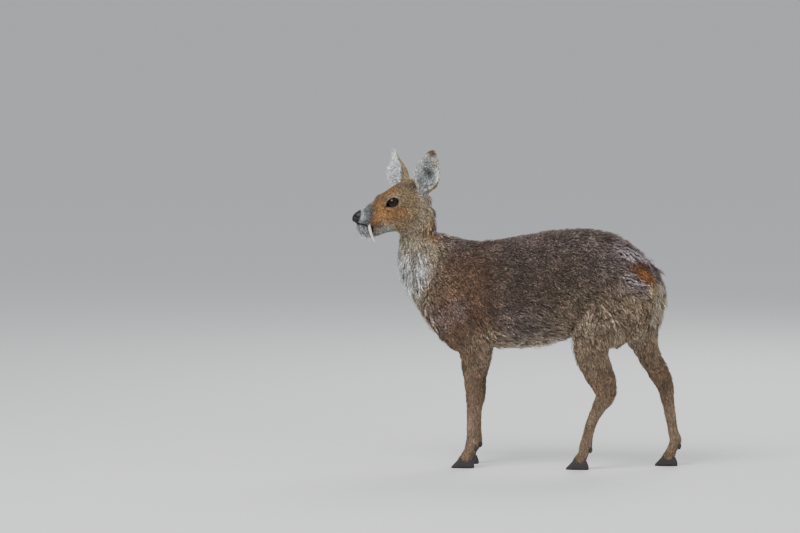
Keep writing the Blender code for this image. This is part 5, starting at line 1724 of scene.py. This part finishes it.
@dataclass
class Bristles:
    """The whiskers of the muzzle and the lashes of the upper lids."""

    rows: tuple[BristleRow, ...] = (
        BristleRow((-0.164, 0.0185, 0.596), (-0.15, 0.0225, 0.6), 5, (0.55, 0.75, -0.4), 0.017, 0.00016, 0.005),
        BristleRow((-0.163, 0.0175, 0.59), (-0.148, 0.022, 0.592), 5, (0.6, 0.7, -0.6), 0.018, 0.00016, 0.006),
        BristleRow((-0.17, 0.006, 0.566), (-0.15, 0.012, 0.56), 5, (-0.2, 0.4, -1.0), 0.016, 0.00014, 0.003),
    )
    lashes: int = 22
    lash_length: float = 0.0085
    sections: int = 4
    sides: int = 3

    def build(self) -> Object:
        """Makes every bristle as one piece.

        Returns:
            The piece.
        """
        chance = np.random.default_rng(SEED + 60)
        lines = []
        for side in Side:
            mirror = np.array((1, side.value, 1))
            for row in self.rows:
                for step in np.linspace(0, 1, row.count):
                    start = np.array(row.start) * (1 - step) + np.array(row.end) * step
                    start = start + chance.normal(0, 0.0012, 3)
                    way = unit(np.array(row.way) + chance.normal(0, 0.15, 3))
                    way = np.array(HEAD.way(way * mirror))
                    start = HEAD.from_local(start * mirror) - way * 0.003
                    lines.append((start, way, row.length * chance.uniform(0.7, 1.2), row.radius, -row.droop))
            middle, out, front, up = (np.array(v) for v in EYE.axes(side))
            for angle in np.linspace(math.radians(30), math.radians(155), self.lashes):
                edge = front * math.cos(angle) * EYE.half_length + up * math.sin(angle) * EYE.half_height
                depth = math.sqrt(max(EYE.radius**2 - edge @ edge, 0.0)) + EYE.lid
                way = unit(out * 0.9 + up * 0.35 + edge / EYE.half_length * 0.5 + chance.normal(0, 0.06, 3))
                lines.append((middle + edge * 1.03 + out * (depth - 0.001), way, self.lash_length, 0.00018, -0.002))
        points, faces = self.tubes(lines)
        piece = add_piece("bristles", new_mesh("bristles", points, faces))
        turn_out(piece.data)
        piece.data.materials.append(BRISTLE.build())
        return piece

    def tubes(self, lines: Sequence[tuple[Array, Array, float, float, float]]) -> tuple[Array, Array]:
        """Draws each bristle as a thin tapering tube that droops towards its tip.

        Args:
            lines: Each bristle's start, way, length, radius and rise of its tip.

        Returns:
            The points and the triangles.
        """
        points = []
        shares = np.linspace(0, 0.8, self.sections)[:, None, None]
        turns = 2 * math.pi * np.arange(self.sides) / self.sides
        for start, way, length, radius, rise in lines:
            side = unit(np.cross(way, (0.0, 0.0, 1.0)))
            ring = np.outer(np.cos(turns), side) + np.outer(np.sin(turns), np.cross(side, way))
            droop = np.array((0.0, 0.0, rise))
            rings = start + way * length * shares + droop * shares**2 + ring * radius * (1 - 0.7 * shares)
            points += [rings.reshape(-1, 3), (start + way * length + droop)[None]]
        faces = np.concatenate([tube_faces(self.sections, self.sides), [(2, 1, 0)]])
        firsts = np.arange(len(lines)) * (self.sections * self.sides + 1)
        return np.concatenate(points), (faces[None] + firsts[:, None, None]).reshape(-1, 3)


class Nodes:
    """Builds a node tree in few words."""

    def __init__(self, tree: NodeTree) -> None:
        """Takes over an empty node tree."""
        self.tree = tree

    def fill(self, node: Node, inputs: dict[str | int, object]) -> None:
        """Links or sets a node's inputs.

        Args:
            node: The node.
            inputs: The socket to link each input from, or its value.
        """
        for name, value in inputs.items():
            if isinstance(value, NodeSocket):
                self.tree.links.new(value, node.inputs[name])
            else:
                node.inputs[name].default_value = value

    def add(self, kind: str, inputs: dict[str | int, object] | None = None, **settings: object) -> Node:
        """Adds a node.

        Args:
            kind: The node's type.
            inputs: Each input's socket to link it from, or its value.
            settings: The node's own settings.

        Returns:
            The node.
        """
        node = self.tree.nodes.new(kind)
        node.location = (200 * len(self.tree.nodes), 0)
        for name, value in settings.items():
            setattr(node, name, value)
        self.fill(node, inputs or {})
        return node

    def place(self) -> NodeSocket:
        """Gives the place on the object."""
        return self.add("ShaderNodeTexCoord").outputs["Object"]

    def stored(self, name: str) -> Node:
        """Gives an attribute that is stored on the mesh."""
        return self.add("ShaderNodeAttribute", attribute_name=name)

    def noise(self, place: NodeSocket, scale: float, detail: float, roughness: float = 0.5) -> NodeSocket:
        """Gives a noise, from 0 to 1."""
        inputs = {"Vector": place, "Scale": scale, "Detail": detail, "Roughness": roughness}
        return self.add("ShaderNodeTexNoise", inputs).outputs["Fac"]

    def sum(self, operation: str, one: NodeSocket | float, two: NodeSocket | float) -> NodeSocket:
        """Does one sum."""
        return self.add("ShaderNodeMath", {0: one, 1: two}, operation=operation).outputs[0]

    def range(self, value: NodeSocket, **ends: float) -> NodeSocket:
        """Brings a value from one range to another, such as From_Min=0.2."""
        inputs = {"Value": value, **{name.replace("_", " "): end for name, end in ends.items()}}
        return self.add("ShaderNodeMapRange", inputs).outputs["Result"]

    def mix(self, factor: NodeSocket, one: NodeSocket | Triple, two: Triple) -> NodeSocket:
        """Mixes two colours.

        Args:
            factor: How much of the second colour there is.
            one: The first colour.
            two: The second colour.

        Returns:
            The mixed colour.
        """
        first = one if isinstance(one, NodeSocket) else (*one, 1.0)
        inputs = {"Factor": factor, "A": first, "B": (*two, 1.0)}
        return self.add("ShaderNodeMix", inputs, data_type="RGBA").outputs["Result"]

    def bump(self, height: NodeSocket, strength: float, distance: float) -> NodeSocket:
        """Gives the normal of a surface with a height."""
        inputs = {"Height": height, "Strength": strength, "Distance": distance}
        return self.add("ShaderNodeBump", inputs).outputs["Normal"]


def hair_group() -> NodeTree:
    """Makes the effect of fine hair: patches of light and dark over the coat, and a fine ruffled height.

    Returns:
        The node group.
    """
    found = bpy.data.node_groups.get("hair variation")
    if found:
        return found
    tree = bpy.data.node_groups.new("hair variation", "ShaderNodeTree")
    for name, way, kind in (
        ("Colour", "INPUT", "Color"), ("Contrast", "INPUT", "Float"),
        ("Colour", "OUTPUT", "Color"), ("Height", "OUTPUT", "Float"),
    ):
        tree.interface.new_socket(name, in_out=way, socket_type=f"NodeSocket{kind}")
    nodes = Nodes(tree)
    given = nodes.add("NodeGroupInput").outputs
    place = nodes.place()
    broad, speckle = nodes.noise(place, 45.0, 2.0, 0.6), nodes.noise(place, 260.0, 2.0, 0.75)
    both = nodes.sum("ADD", broad, nodes.sum("MULTIPLY", speckle, 3.0))
    scaled = nodes.sum("MULTIPLY", nodes.sum("SUBTRACT", both, 2.0), given["Contrast"])
    light = nodes.sum("POWER", 2.718, scaled)
    colour = nodes.add("ShaderNodeVectorMath", {0: given["Colour"], "Scale": light}, operation="SCALE")
    height = nodes.noise(place, 900.0, 2.0, 0.7)
    nodes.add("NodeGroupOutput", {"Colour": colour.outputs[0], "Height": height})
    return tree


@dataclass(frozen=True)
class Finish:
    """A finish, made into a material once for its name."""

    name: str

    def build(self) -> Material:
        """Makes the material, or gives the one that is there.

        Returns:
            The material.
        """
        found = bpy.data.materials.get(self.name)
        if found:
            return found
        material = bpy.data.materials.new(self.name)
        material.use_nodes = True
        material.node_tree.nodes.clear()
        nodes = Nodes(material.node_tree)
        shader = nodes.add("ShaderNodeBsdfPrincipled")
        nodes.add("ShaderNodeOutputMaterial", {"Surface": shader.outputs[0]})
        nodes.fill(shader, self.inputs(nodes))
        return material

    def inputs(self, nodes: Nodes) -> dict[str | int, object]:
        """Makes the nodes and gives what goes into the shader."""
        raise NotImplementedError


@dataclass(frozen=True)
class CoatFinish(Finish):
    """The look of hair and of the skin under it, coloured by the markings stored on the mesh."""

    roughness: float = 0.72
    contrast: float = 1.3
    calm: float = 0.38
    calm_below: tuple[float, float] = (0.26, 0.37)
    sheen: float = 0.08
    strength: float = 0.25
    bare_nose: bool = False

    def inputs(self, nodes: Nodes) -> dict[str | int, object]:
        """Colours the hair by its markings, calmer on the legs, and gives the nose its pebbled skin.

        Args:
            nodes: The material's nodes.

        Returns:
            What goes into the shader.
        """
        place = nodes.place()
        level = nodes.add("ShaderNodeSeparateXYZ", {"Vector": place}).outputs["Z"]
        low, high = self.calm_below
        contrast = nodes.range(
            level, From_Min=low, From_Max=high, To_Min=self.contrast * self.calm, To_Max=self.contrast
        )
        given = {"Colour": nodes.stored(COAT_ATTRIBUTE).outputs["Color"], "Contrast": contrast}
        hair = nodes.add("ShaderNodeGroup", given, node_tree=hair_group()).outputs
        height, roughness = hair["Height"], self.roughness
        if self.bare_nose:
            mask = nodes.stored(NOSE_ATTRIBUTE).outputs["Fac"]
            pebbles = nodes.add("ShaderNodeTexVoronoi", {"Vector": place, "Scale": 900.0})
            roughness = nodes.range(mask, To_Min=roughness, To_Max=0.30)
            inputs = {"Factor": mask, "A": height, "B": pebbles.outputs["Distance"]}
            height = nodes.add("ShaderNodeMix", inputs).outputs["Result"]
        return {
            "Base Color": hair["Colour"],
            "Roughness": roughness,
            "Normal": nodes.bump(height, self.strength, 0.0006),
            "Specular IOR Level": 0.25,
            "Sheen Weight": self.sheen,
            "Sheen Roughness": 0.5,
        }


@dataclass(frozen=True)
class EyeFinish(Finish):
    """A dark, wet eye: a nearly black brown iris round a wide level pupil."""

    iris: Triple = (0.012, 0.007, 0.005)
    fleck: Triple = (0.006, 0.0035, 0.0025)
    pupil: Triple = (0.002, 0.002, 0.004)

    def inputs(self, nodes: Nodes) -> dict[str | int, object]:
        """Streaks the iris and blackens the pupil.

        Args:
            nodes: The material's nodes.

        Returns:
            What goes into the shader.
        """
        iris = nodes.mix(nodes.noise(nodes.place(), 600.0, 4.0), self.iris, self.fleck)
        colour = nodes.mix(nodes.stored("pupil").outputs["Fac"], iris, self.pupil)
        return {"Base Color": colour, "Roughness": 0.05, "IOR": 1.33}


@dataclass(frozen=True)
class HornFinish(Finish):
    """Ivory or horn: a colour with growth streaks along it and a faint stain."""

    light: Triple
    dark: Triple
    roughness: float
    grain: float
    stretch: Triple = (1.0, 1.0, 0.15)

    def inputs(self, nodes: Nodes) -> dict[str | int, object]:
        """Streaks the horn in colour and height.

        Args:
            nodes: The material's nodes.

        Returns:
            What goes into the shader.
        """
        turned = nodes.add("ShaderNodeMapping", {"Vector": nodes.place(), "Scale": self.stretch}).outputs[0]
        streaks = nodes.noise(turned, self.grain, 4.0, 0.6)
        colour = nodes.mix(nodes.range(streaks, From_Min=0.35, From_Max=0.70), self.light, self.dark)
        return {"Base Color": colour, "Normal": nodes.bump(streaks, 0.2, 0.0004), "Roughness": self.roughness}


@dataclass(frozen=True)
class FloorFinish(Finish):
    """A plain pale floor, a little mottled."""

    dark: Triple = (0.74, 0.74, 0.73)
    light: Triple = (0.78, 0.78, 0.77)

    def inputs(self, nodes: Nodes) -> dict[str | int, object]:
        """Gives the floor's colour and its dull surface."""
        colour = nodes.mix(nodes.noise(nodes.place(), 30.0, 3.0), self.dark, self.light)
        return {"Base Color": colour, "Roughness": 0.8}


BRISTLE = HornFinish("bristle_black", (0.02, 0.016, 0.013), (0.008, 0.007, 0.006), 0.5, 300.0)
IVORY = HornFinish("tusk_ivory", (0.82, 0.78, 0.68), (0.66, 0.56, 0.4), 0.28, 260.0)
HOOF_HORN = HornFinish("hoof_horn", (0.045, 0.036, 0.03), (0.018, 0.014, 0.012), 0.45, 420.0, (1.0, 1.0, 0.6))
COAT_HAIR = CoatFinish("coat_hair")
COAT_SKIN = CoatFinish("coat_skin", roughness=0.8, contrast=0.6, sheen=0.0, strength=0.35, bare_nose=True)
WET_EYE = EyeFinish("eye_wet_black")


@dataclass
class Eyes:
    """Two eyeballs with a faint bulge over the iris."""

    rings: int = 48
    bulge: float = 0.0006
    pupil: tuple[float, float] = (0.62, 0.34)  # half length and half height, as shares of the eye's radius

    def build(self) -> None:
        """Makes both eyes."""
        for side in Side:
            middle, out, front, up = EYE.axes(side)
            bm = bmesh.new()
            bmesh.ops.create_uvsphere(bm, u_segments=self.rings, v_segments=self.rings // 2, radius=EYE.radius)
            turn = Matrix((front, up, out)).transposed().to_4x4()
            pupils = []
            wide, high = self.pupil
            for vert in bm.verts:
                x, y, z = vert.co / EYE.radius
                vert.co.z += self.bulge * max(z, 0.0) ** 4
                inside = math.hypot(x / wide, y / high) if z > 0 else 9.0
                pupils.append(min(max((1.15 - inside) / 0.3, 0.0), 1.0))
            bmesh.ops.transform(bm, matrix=Matrix.Translation(middle) @ turn, verts=bm.verts)
            mesh = bpy.data.meshes.new(f"eyeball_{side.name.lower()}")
            if turn.determinant() < 0:
                bmesh.ops.reverse_faces(bm, faces=bm.faces)
            bm.to_mesh(mesh)
            bm.free()
            mesh.attributes.new("pupil", "FLOAT", "POINT").data.foreach_set("value", np.array(pupils, np.float32))
            mesh.shade_smooth()
            mesh.materials.append(WET_EYE.build())
            piece = add_piece(mesh.name, mesh)
            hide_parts(f"eye_{side.name.lower()}")


@dataclass
class Tusks:
    """The long upper canines, set in the lip."""

    line: tuple[tuple[float, float, float, float], ...] = (
        (-0.1485, 0.015, 0.588, 0.0027),
        (-0.1478, 0.0175, 0.579, 0.0028),
        (-0.1462, 0.0196, 0.569, 0.0027),
        (-0.1434, 0.0208, 0.5595, 0.0023),
        (-0.1396, 0.0212, 0.5505, 0.0018),
        (-0.135, 0.0208, 0.543, 0.0009),
    )
    sides: int = 16

    def build(self) -> None:
        """Makes both tusks."""
        rows = smooth_rows(self.line, 6)
        ways = unit(np.gradient(rows[:, :3], axis=0))
        fore = unit(np.cross(np.cross((1.0, 0.0, 0.0), ways), ways))
        out = np.cross(ways, fore)
        angles = 2 * math.pi * np.arange(self.sides) / self.sides
        fore, out = (1.18 * fore)[:, None], (0.85 * out)[:, None]
        spread = np.cos(angles)[:, None] * fore + np.sin(angles)[:, None] * out
        rings = rows[:, None, :3] + spread * rows[:, None, 3:]
        tip = rows[-1, :3] + ways[-1] * 0.0012
        local = np.concatenate([rings.reshape(-1, 3), tip[None], rows[:1, :3]])
        count, round_it = len(rows), np.arange(self.sides)
        base = np.stack([np.roll(round_it, -1), round_it, np.full(self.sides, count * self.sides + 1)], axis=1)
        faces = np.concatenate([tube_faces(count, self.sides), base])
        for side in Side:
            mirrored = local * (1, side.value, 1)
            mesh = new_mesh(f"canine_{side.name.lower()}", HEAD.from_local(mirrored), faces)
            turn_out(mesh)
            mesh.materials.append(IVORY.build())
            piece = add_piece(mesh.name, mesh)
            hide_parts(f"tusk_{side.name.lower()}")


def turn_out(mesh: Mesh) -> None:
    """Turns a closed mesh's faces outwards.

    Args:
        mesh: The mesh.
    """
    bm = bmesh.new()
    bm.from_mesh(mesh)
    bmesh.ops.recalc_face_normals(bm, faces=bm.faces)
    bm.to_mesh(mesh)
    bm.free()


@dataclass
class Hooves:
    """Two claws and two dewclaws on each foot."""

    half_width: float = 0.0072
    spread: float = 0.0082
    top: float = 0.024
    profile: tuple[Triple, ...] = (
        (0.02, 0.012, 0.6),
        (0.017, 0.019, 0.85),
        (0.008, 0.024, 1.0),
        (-0.006, 0.0285, 1.0),
        (-0.018, 0.0175, 0.86),
        (-0.027, 0.008, 0.62),
        (-0.031, 0.004, 0.36),
    )
    dewclaw: Triple = (0.011, 0.008, 0.049)
    dewclaw_radii: Triple = (0.0042, 0.0034, 0.0074)

    def build(self) -> None:
        """Makes the horn of all four feet."""
        feet = (
            ("fore_left", FORELEG, Side.LEFT, 0.0),
            ("fore_right", FORELEG, Side.RIGHT, FAR_FORELEG_BACK),
            ("hind_left", HIND_LEG_FORWARD, Side.LEFT, 0.0),
            ("hind_right", HIND_LEG_BACK, Side.RIGHT, 0.0),
        )
        for name, girths, side, back in feet:
            for place, offset in (("inner", -self.spread), ("outer", self.spread)):
                self.claw(name, place, girths[-1].row(back), side, offset)
            self.dewclaws(name, [girth.row(back) for girth in girths], side)

    def claw(self, leg: str, place: str, foot: Sequence[float], side: Side, offset: float) -> None:
        """Makes one claw, flat underneath, with a rounded edge at its sole.

        Args:
            leg: The leg's name.
            place: Which of the two claws.
            foot: The row of the leg's last girth.
            side: The side of the animal.
            offset: How far the claw is from the foot's middle.
        """
        lateral = (foot[4] + offset) * side.value
        rows = []
        for reach, height, wide in self.profile:
            x = foot[0] + reach
            rows.append([x, height, x, -height, self.half_width * wide, lateral, 0.0, 0.0])
        forms = Forms(sides=28)
        forms.loft(smooth_rows(rows, 4), Matrix.Translation(CENTRE_SHIFT), dome=0.3)
        bm = forms.bm
        for height, normal in ((0.0, (0.0, 0.0, -1.0)), (self.top, (0.0, 0.0, 1.0))):
            geometry = bm.verts[:] + bm.edges[:] + bm.faces[:]
            level = (0.0, 0.0, height)
            bmesh.ops.bisect_plane(bm, geom=geometry, dist=1e-6, plane_co=level, plane_no=normal, clear_outer=True)
            bmesh.ops.holes_fill(bm, edges=[e for e in bm.edges if e.is_boundary])
        mesh = forms.to_mesh(f"hoof_{leg}_{place}")
        mesh.polygons.foreach_set("use_smooth", np.array([len(p.vertices) == 4 for p in mesh.polygons]))
        mesh.materials.append(HOOF_HORN.build())
        piece = add_piece(mesh.name, mesh)
        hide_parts(f"{leg}_claw_{place}")

    def dewclaws(self, leg: str, rows: Sequence[Sequence[float]], side: Side) -> None:
        """Makes a leg's two small horn buds behind the fetlock.

        Args:
            leg: The leg's name.
            rows: The rows of its girths.
            side: The side of the animal.
        """
        behind, beside, height = self.dewclaw
        fetlock = min(rows, key=lambda row: abs(row[1] - height - 0.008))
        forms = Forms()
        for offset in (-beside, beside):
            place = (fetlock[0] + behind, fetlock[4] * side.value + offset, height - 0.002)
            forms.ellipsoid(place, self.dewclaw_radii, Matrix.Translation(CENTRE_SHIFT))
        mesh = forms.to_mesh(f"dewclaws_{leg}")
        mesh.shade_smooth()
        mesh.materials.append(HOOF_HORN.build())
        add_piece(mesh.name, mesh)


@dataclass
class Ear:
    """One ear: a thin leaf rolled into a cup, with its own coat inside and out."""

    side: Side
    length: float
    place: Triple
    way: Triple
    faces: Triple
    zones: tuple[Zone, ...] = EAR_ZONES
    thickness: float = 0.002
    inset: float = 0.0012
    # heights of grey lines painted inside the cup as the shade of its folds
    folds: tuple[float, ...] = (0.055, 0.063, 0.072)
    columns: int = 28
    stations: tuple[tuple[float, float, float, float, float], ...] = (
        (-0.14, 0.018, 0.013, 0.024, 140),
        (0.0, 0.006, 0.015, 0.027, 138),
        (0.08, 0.0015, 0.019, 0.029, 124),
        (0.17, 0.0, 0.0256, 0.03, 108),
        (0.27, 0.0, 0.0294, 0.03, 96),
        (0.37, 0.0, 0.0314, 0.0285, 88),
        (0.47, 0.0, 0.0318, 0.0265, 81),
        (0.58, 0.0, 0.0297, 0.0222, 74),
        (0.69, 0.0, 0.0258, 0.016, 66),
        (0.8, 0.0, 0.0225, 0.01, 58),
        (0.89, 0.0, 0.0186, 0.0058, 52),
        (0.96, 0.0, 0.0128, 0.003, 47),
        (1.0, 0.0, 0.0062, 0.0014, 44),
    )

    def axes(self) -> tuple[Array, Array, Array]:
        """Finds the head frame's directions along the ear, across it to its leading edge, and out of its cup.

        Returns:
            The three directions.
        """
        way = Vector(self.way).normalized()
        faces = Vector(self.faces)
        faces = (faces - way * faces.dot(way)).normalized()
        across = way.cross(faces) * self.side.value
        return np.array(way), np.array(across), np.array(faces)

    def build(self) -> Object:
        """Makes the ear's skin, a little inside the ear's solid.

        Returns:
            The piece.
        """
        way, across, faces = self.axes()
        inwards = np.array((0.0, -self.side.value, 0.0))
        bm = bmesh.new()
        rings = []
        for along, inset, radius, depth, roll_degrees in smooth_rows(self.stations, 4):
            middle = np.array(self.place) + way * along * self.length + inwards * inset
            half = self.thickness * (1 - 0.5 * max(along, 0.0)) / 2
            roll = math.radians(roll_degrees)
            deep = (depth - self.inset) / (1 - math.cos(roll))
            wide = radius - self.inset
            turns = roll * (2 * np.arange(self.columns + 1) / self.columns - 1)[:, None]
            leaf = middle + across * wide * np.sin(turns) + faces * deep * (math.cos(roll) - np.cos(turns))
            out = unit(across * deep * np.sin(turns) - faces * wide * np.cos(turns))
            ridge = 0.0007 * np.sin(turns * 9.0) * smooth_step(np.array((0.85 - along) / 0.3))
            taper = np.sqrt(np.maximum(1 - (turns / roll) ** 2, 0.0))
            back = leaf + out * half * np.maximum(taper, 0.25)
            front = leaf - out * (half + ridge) * taper
            points = HEAD.from_local(np.concatenate([back, front[-2:0:-1]]))
            rings.append([bm.verts.new(point) for point in points])
        sides = len(rings[0])
        for one, two in zip(rings, rings[1:]):
            band(bm, one, two)
        for end in (rings[0], rings[-1]):
            for k in range(self.columns):
                corners = [end[k], end[k + 1], end[(sides - k - 1) % sides], end[(sides - k) % sides]]
                bm.faces.new(list(dict.fromkeys(corners)))
        bmesh.ops.recalc_face_normals(bm, faces=bm.faces)
        mesh = bpy.data.meshes.new(f"ear_skin_{self.side.name.lower()}")
        bm.to_mesh(mesh)
        bm.free()
        mesh.shade_smooth()
        piece = add_piece(mesh.name, mesh)
        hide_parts(f"ear_{self.side.name.lower()}")
        self.piece = piece
        return piece

    def coat(self, points: Array, normals: Array) -> CoatState:
        """Finds the ear's coat.

        Args:
            points: Points on the ear.
            normals: The surface's normals there, which tell the inside from the outside.

        Returns:
            The coat there.
        """
        axes = np.stack(self.axes())
        local = (HEAD.to_local(points) - np.array(self.place)) @ axes.T
        turned = (normals @ HEAD.turn) @ axes.T
        middle = np.column_stack([local[:, 1], local[:, 2] + 0.004])
        inside = -(unit(middle) * turned[:, 1:3]).sum(axis=1)
        depth = np.clip(inside * 3.0, -1.0, 1.0) * 0.03
        rows = ZoneMap(self.zones).blend(np.column_stack([local[:, 0], local[:, 1], depth]))
        rows[:, 0:3] = (rows[:, 0:3] @ axes) @ HEAD.turn.T
        coat = CoatState.from_rows(rows)
        # painted shade: a grey line across the inside of the cup at each fold
        for height in self.folds:
            off = local[:, 0] - height + 0.45 * local[:, 1] + 0.0015 * np.sin(local[:, 1] * 420)
            held = smooth_step((0.021 - np.abs(local[:, 1])) / 0.006) * smooth_step(inside * 3.0)
            coat.paint(Tones.GREY, 0.9 * bell(off / 0.0019) * held)
        return coat

    def dress(self, finish: CoatFinish) -> None:
        """Colours the ear's skin with its coat's markings and unwraps it.

        Args:
            finish: The coat's finish.
        """
        mesh = self.piece.data
        state = self.coat(mesh_points(mesh), mesh_normals(mesh))
        set_colours(mesh, COAT_ATTRIBUTE, state.base * 0.8)
        mesh.materials.append(finish.build())
        unwrap(self.piece)


@dataclass
class Studio:
    """A plain pale floor, soft light and a camera at the photograph's angle."""

    azimuth: float = math.radians(6.0)
    elevation: float = math.radians(4.5)
    distance: float = 12.0
    span: float = 1.92
    across: float = -0.264
    up: float = 0.4788
    sensor: float = 36.0
    sky_tone: Triple = (0.93, 0.96, 1.0)
    sky_strength: float = 0.62
    lamps: tuple[tuple[str, Triple, float, float], ...] = (
        ("key", (-1.2, -2.0, 3.4), 1.8, 120.0),
        ("fill", (2.6, -2.8, 1.8), 2.4, 26.0),
        ("rim", (0.8, 2.6, 2.6), 1.8, 60.0),
    )

    def build(self) -> None:
        """Makes the floor, the lights, the sky and the camera."""
        self.floor()
        self.sky()
        for lamp in self.lamps:
            self.light(*lamp)
        self.camera()

    def floor(self) -> None:
        """Makes a wide pale floor."""
        bm = bmesh.new()
        bmesh.ops.create_circle(bm, cap_ends=True, segments=96, radius=90.0)
        mesh = bpy.data.meshes.new("studio_floor")
        bm.to_mesh(mesh)
        bm.free()
        floor = bpy.data.objects.new("studio_floor", mesh)
        bpy.context.scene.collection.objects.link(floor)
        mesh.materials.append(FloorFinish("pale_floor").build())

    def sky(self) -> None:
        """Lights everything evenly from all round."""
        world = bpy.data.worlds.new("studio_sky")
        world.use_nodes = True
        ground = world.node_tree.nodes["Background"]
        ground.inputs["Color"].default_value = (*self.sky_tone, 1.0)
        ground.inputs["Strength"].default_value = self.sky_strength
        bpy.context.scene.world = world

    def light(self, name: str, place: Triple, size: float, power: float) -> None:
        """Hangs a soft lamp that looks at the animal.

        Args:
            name: The lamp's name.
            place: Where it hangs.
            size: Its width.
            power: Its power in watts.
        """
        data = bpy.data.lights.new(name, "AREA")
        data.size = size
        data.energy = power
        lamp = bpy.data.objects.new(name, data)
        bpy.context.scene.collection.objects.link(lamp)
        lamp.location = place
        aim = Vector((0.0, 0.0, 0.4)) - Vector(place)
        lamp.rotation_euler = aim.to_track_quat("-Z", "Y").to_euler()

    def camera(self) -> None:
        """Sets the camera to frame the animal as the photograph does."""
        right = Vector((math.cos(self.azimuth), math.sin(self.azimuth), 0.0))
        flat = Vector((math.sin(self.azimuth), -math.cos(self.azimuth), 0.0))
        towards = flat * math.cos(self.elevation) + Vector((0.0, 0.0, math.sin(self.elevation)))
        up = towards.cross(right)
        target = right * self.across + up * self.up + CENTRE_SHIFT
        data = bpy.data.cameras.new("camera")
        data.sensor_width = self.sensor
        data.lens = self.sensor * self.distance / self.span
        data.clip_end = 300.0
        camera = bpy.data.objects.new("camera", data)
        bpy.context.scene.collection.objects.link(camera)
        camera.location = target + towards * self.distance
        camera.rotation_euler = (-towards).to_track_quat("-Z", "Y").to_euler()
        bpy.context.scene.camera = camera


def main() -> None:
    """Builds the deer and its studio in order."""
    body_tufts, ear_tufts = TUFTS
    skin = Skin()
    skin.build()
    skin.dress(COAT_SKIN)
    LOG.info("skin: %d faces", len(skin.piece.data.polygons))
    body = Coat(Surface.of(skin.piece, skin.bare), BodyCoat().at, body_tufts, COAT_HAIR, "body_coat")
    LOG.info("coat pieces: %d", len(body.build("coat")))
    ears = (
        Ear(Side.LEFT, 0.1045, (-0.021, -0.04, 0.6596), (0.135, -0.322, 1.0), (-0.48, -0.87, 0.0)),
        Ear(
            Side.RIGHT, 0.1005, (-0.056, 0.034, 0.6589), (0.0, 0.322, 1.0), (-0.998, -0.063, 0.0),
            FAR_EAR_ZONES, folds=(),
        ),
    )
    for ear in ears:
        ear.build()
        ear.dress(COAT_SKIN)
        name = f"ear_coat_{ear.side.name.lower()}"
        coat = Coat(Surface.of(ear.piece), ear.coat, ear_tufts, COAT_HAIR, "ear_coat", clump_size=0.006)
        coat.build(name)
    LOG.info("locks: %d faces", len(Locks(skin.piece, COAT_HAIR).build().data.polygons))
    Bristles().build()
    Eyes().build()
    Tusks().build()
    Hooves().build()
    Studio().build()
    LOG.info("done")


if __name__ == "__main__":
    logging.basicConfig(level=logging.INFO, format="%(name)s: %(message)s")
    main()
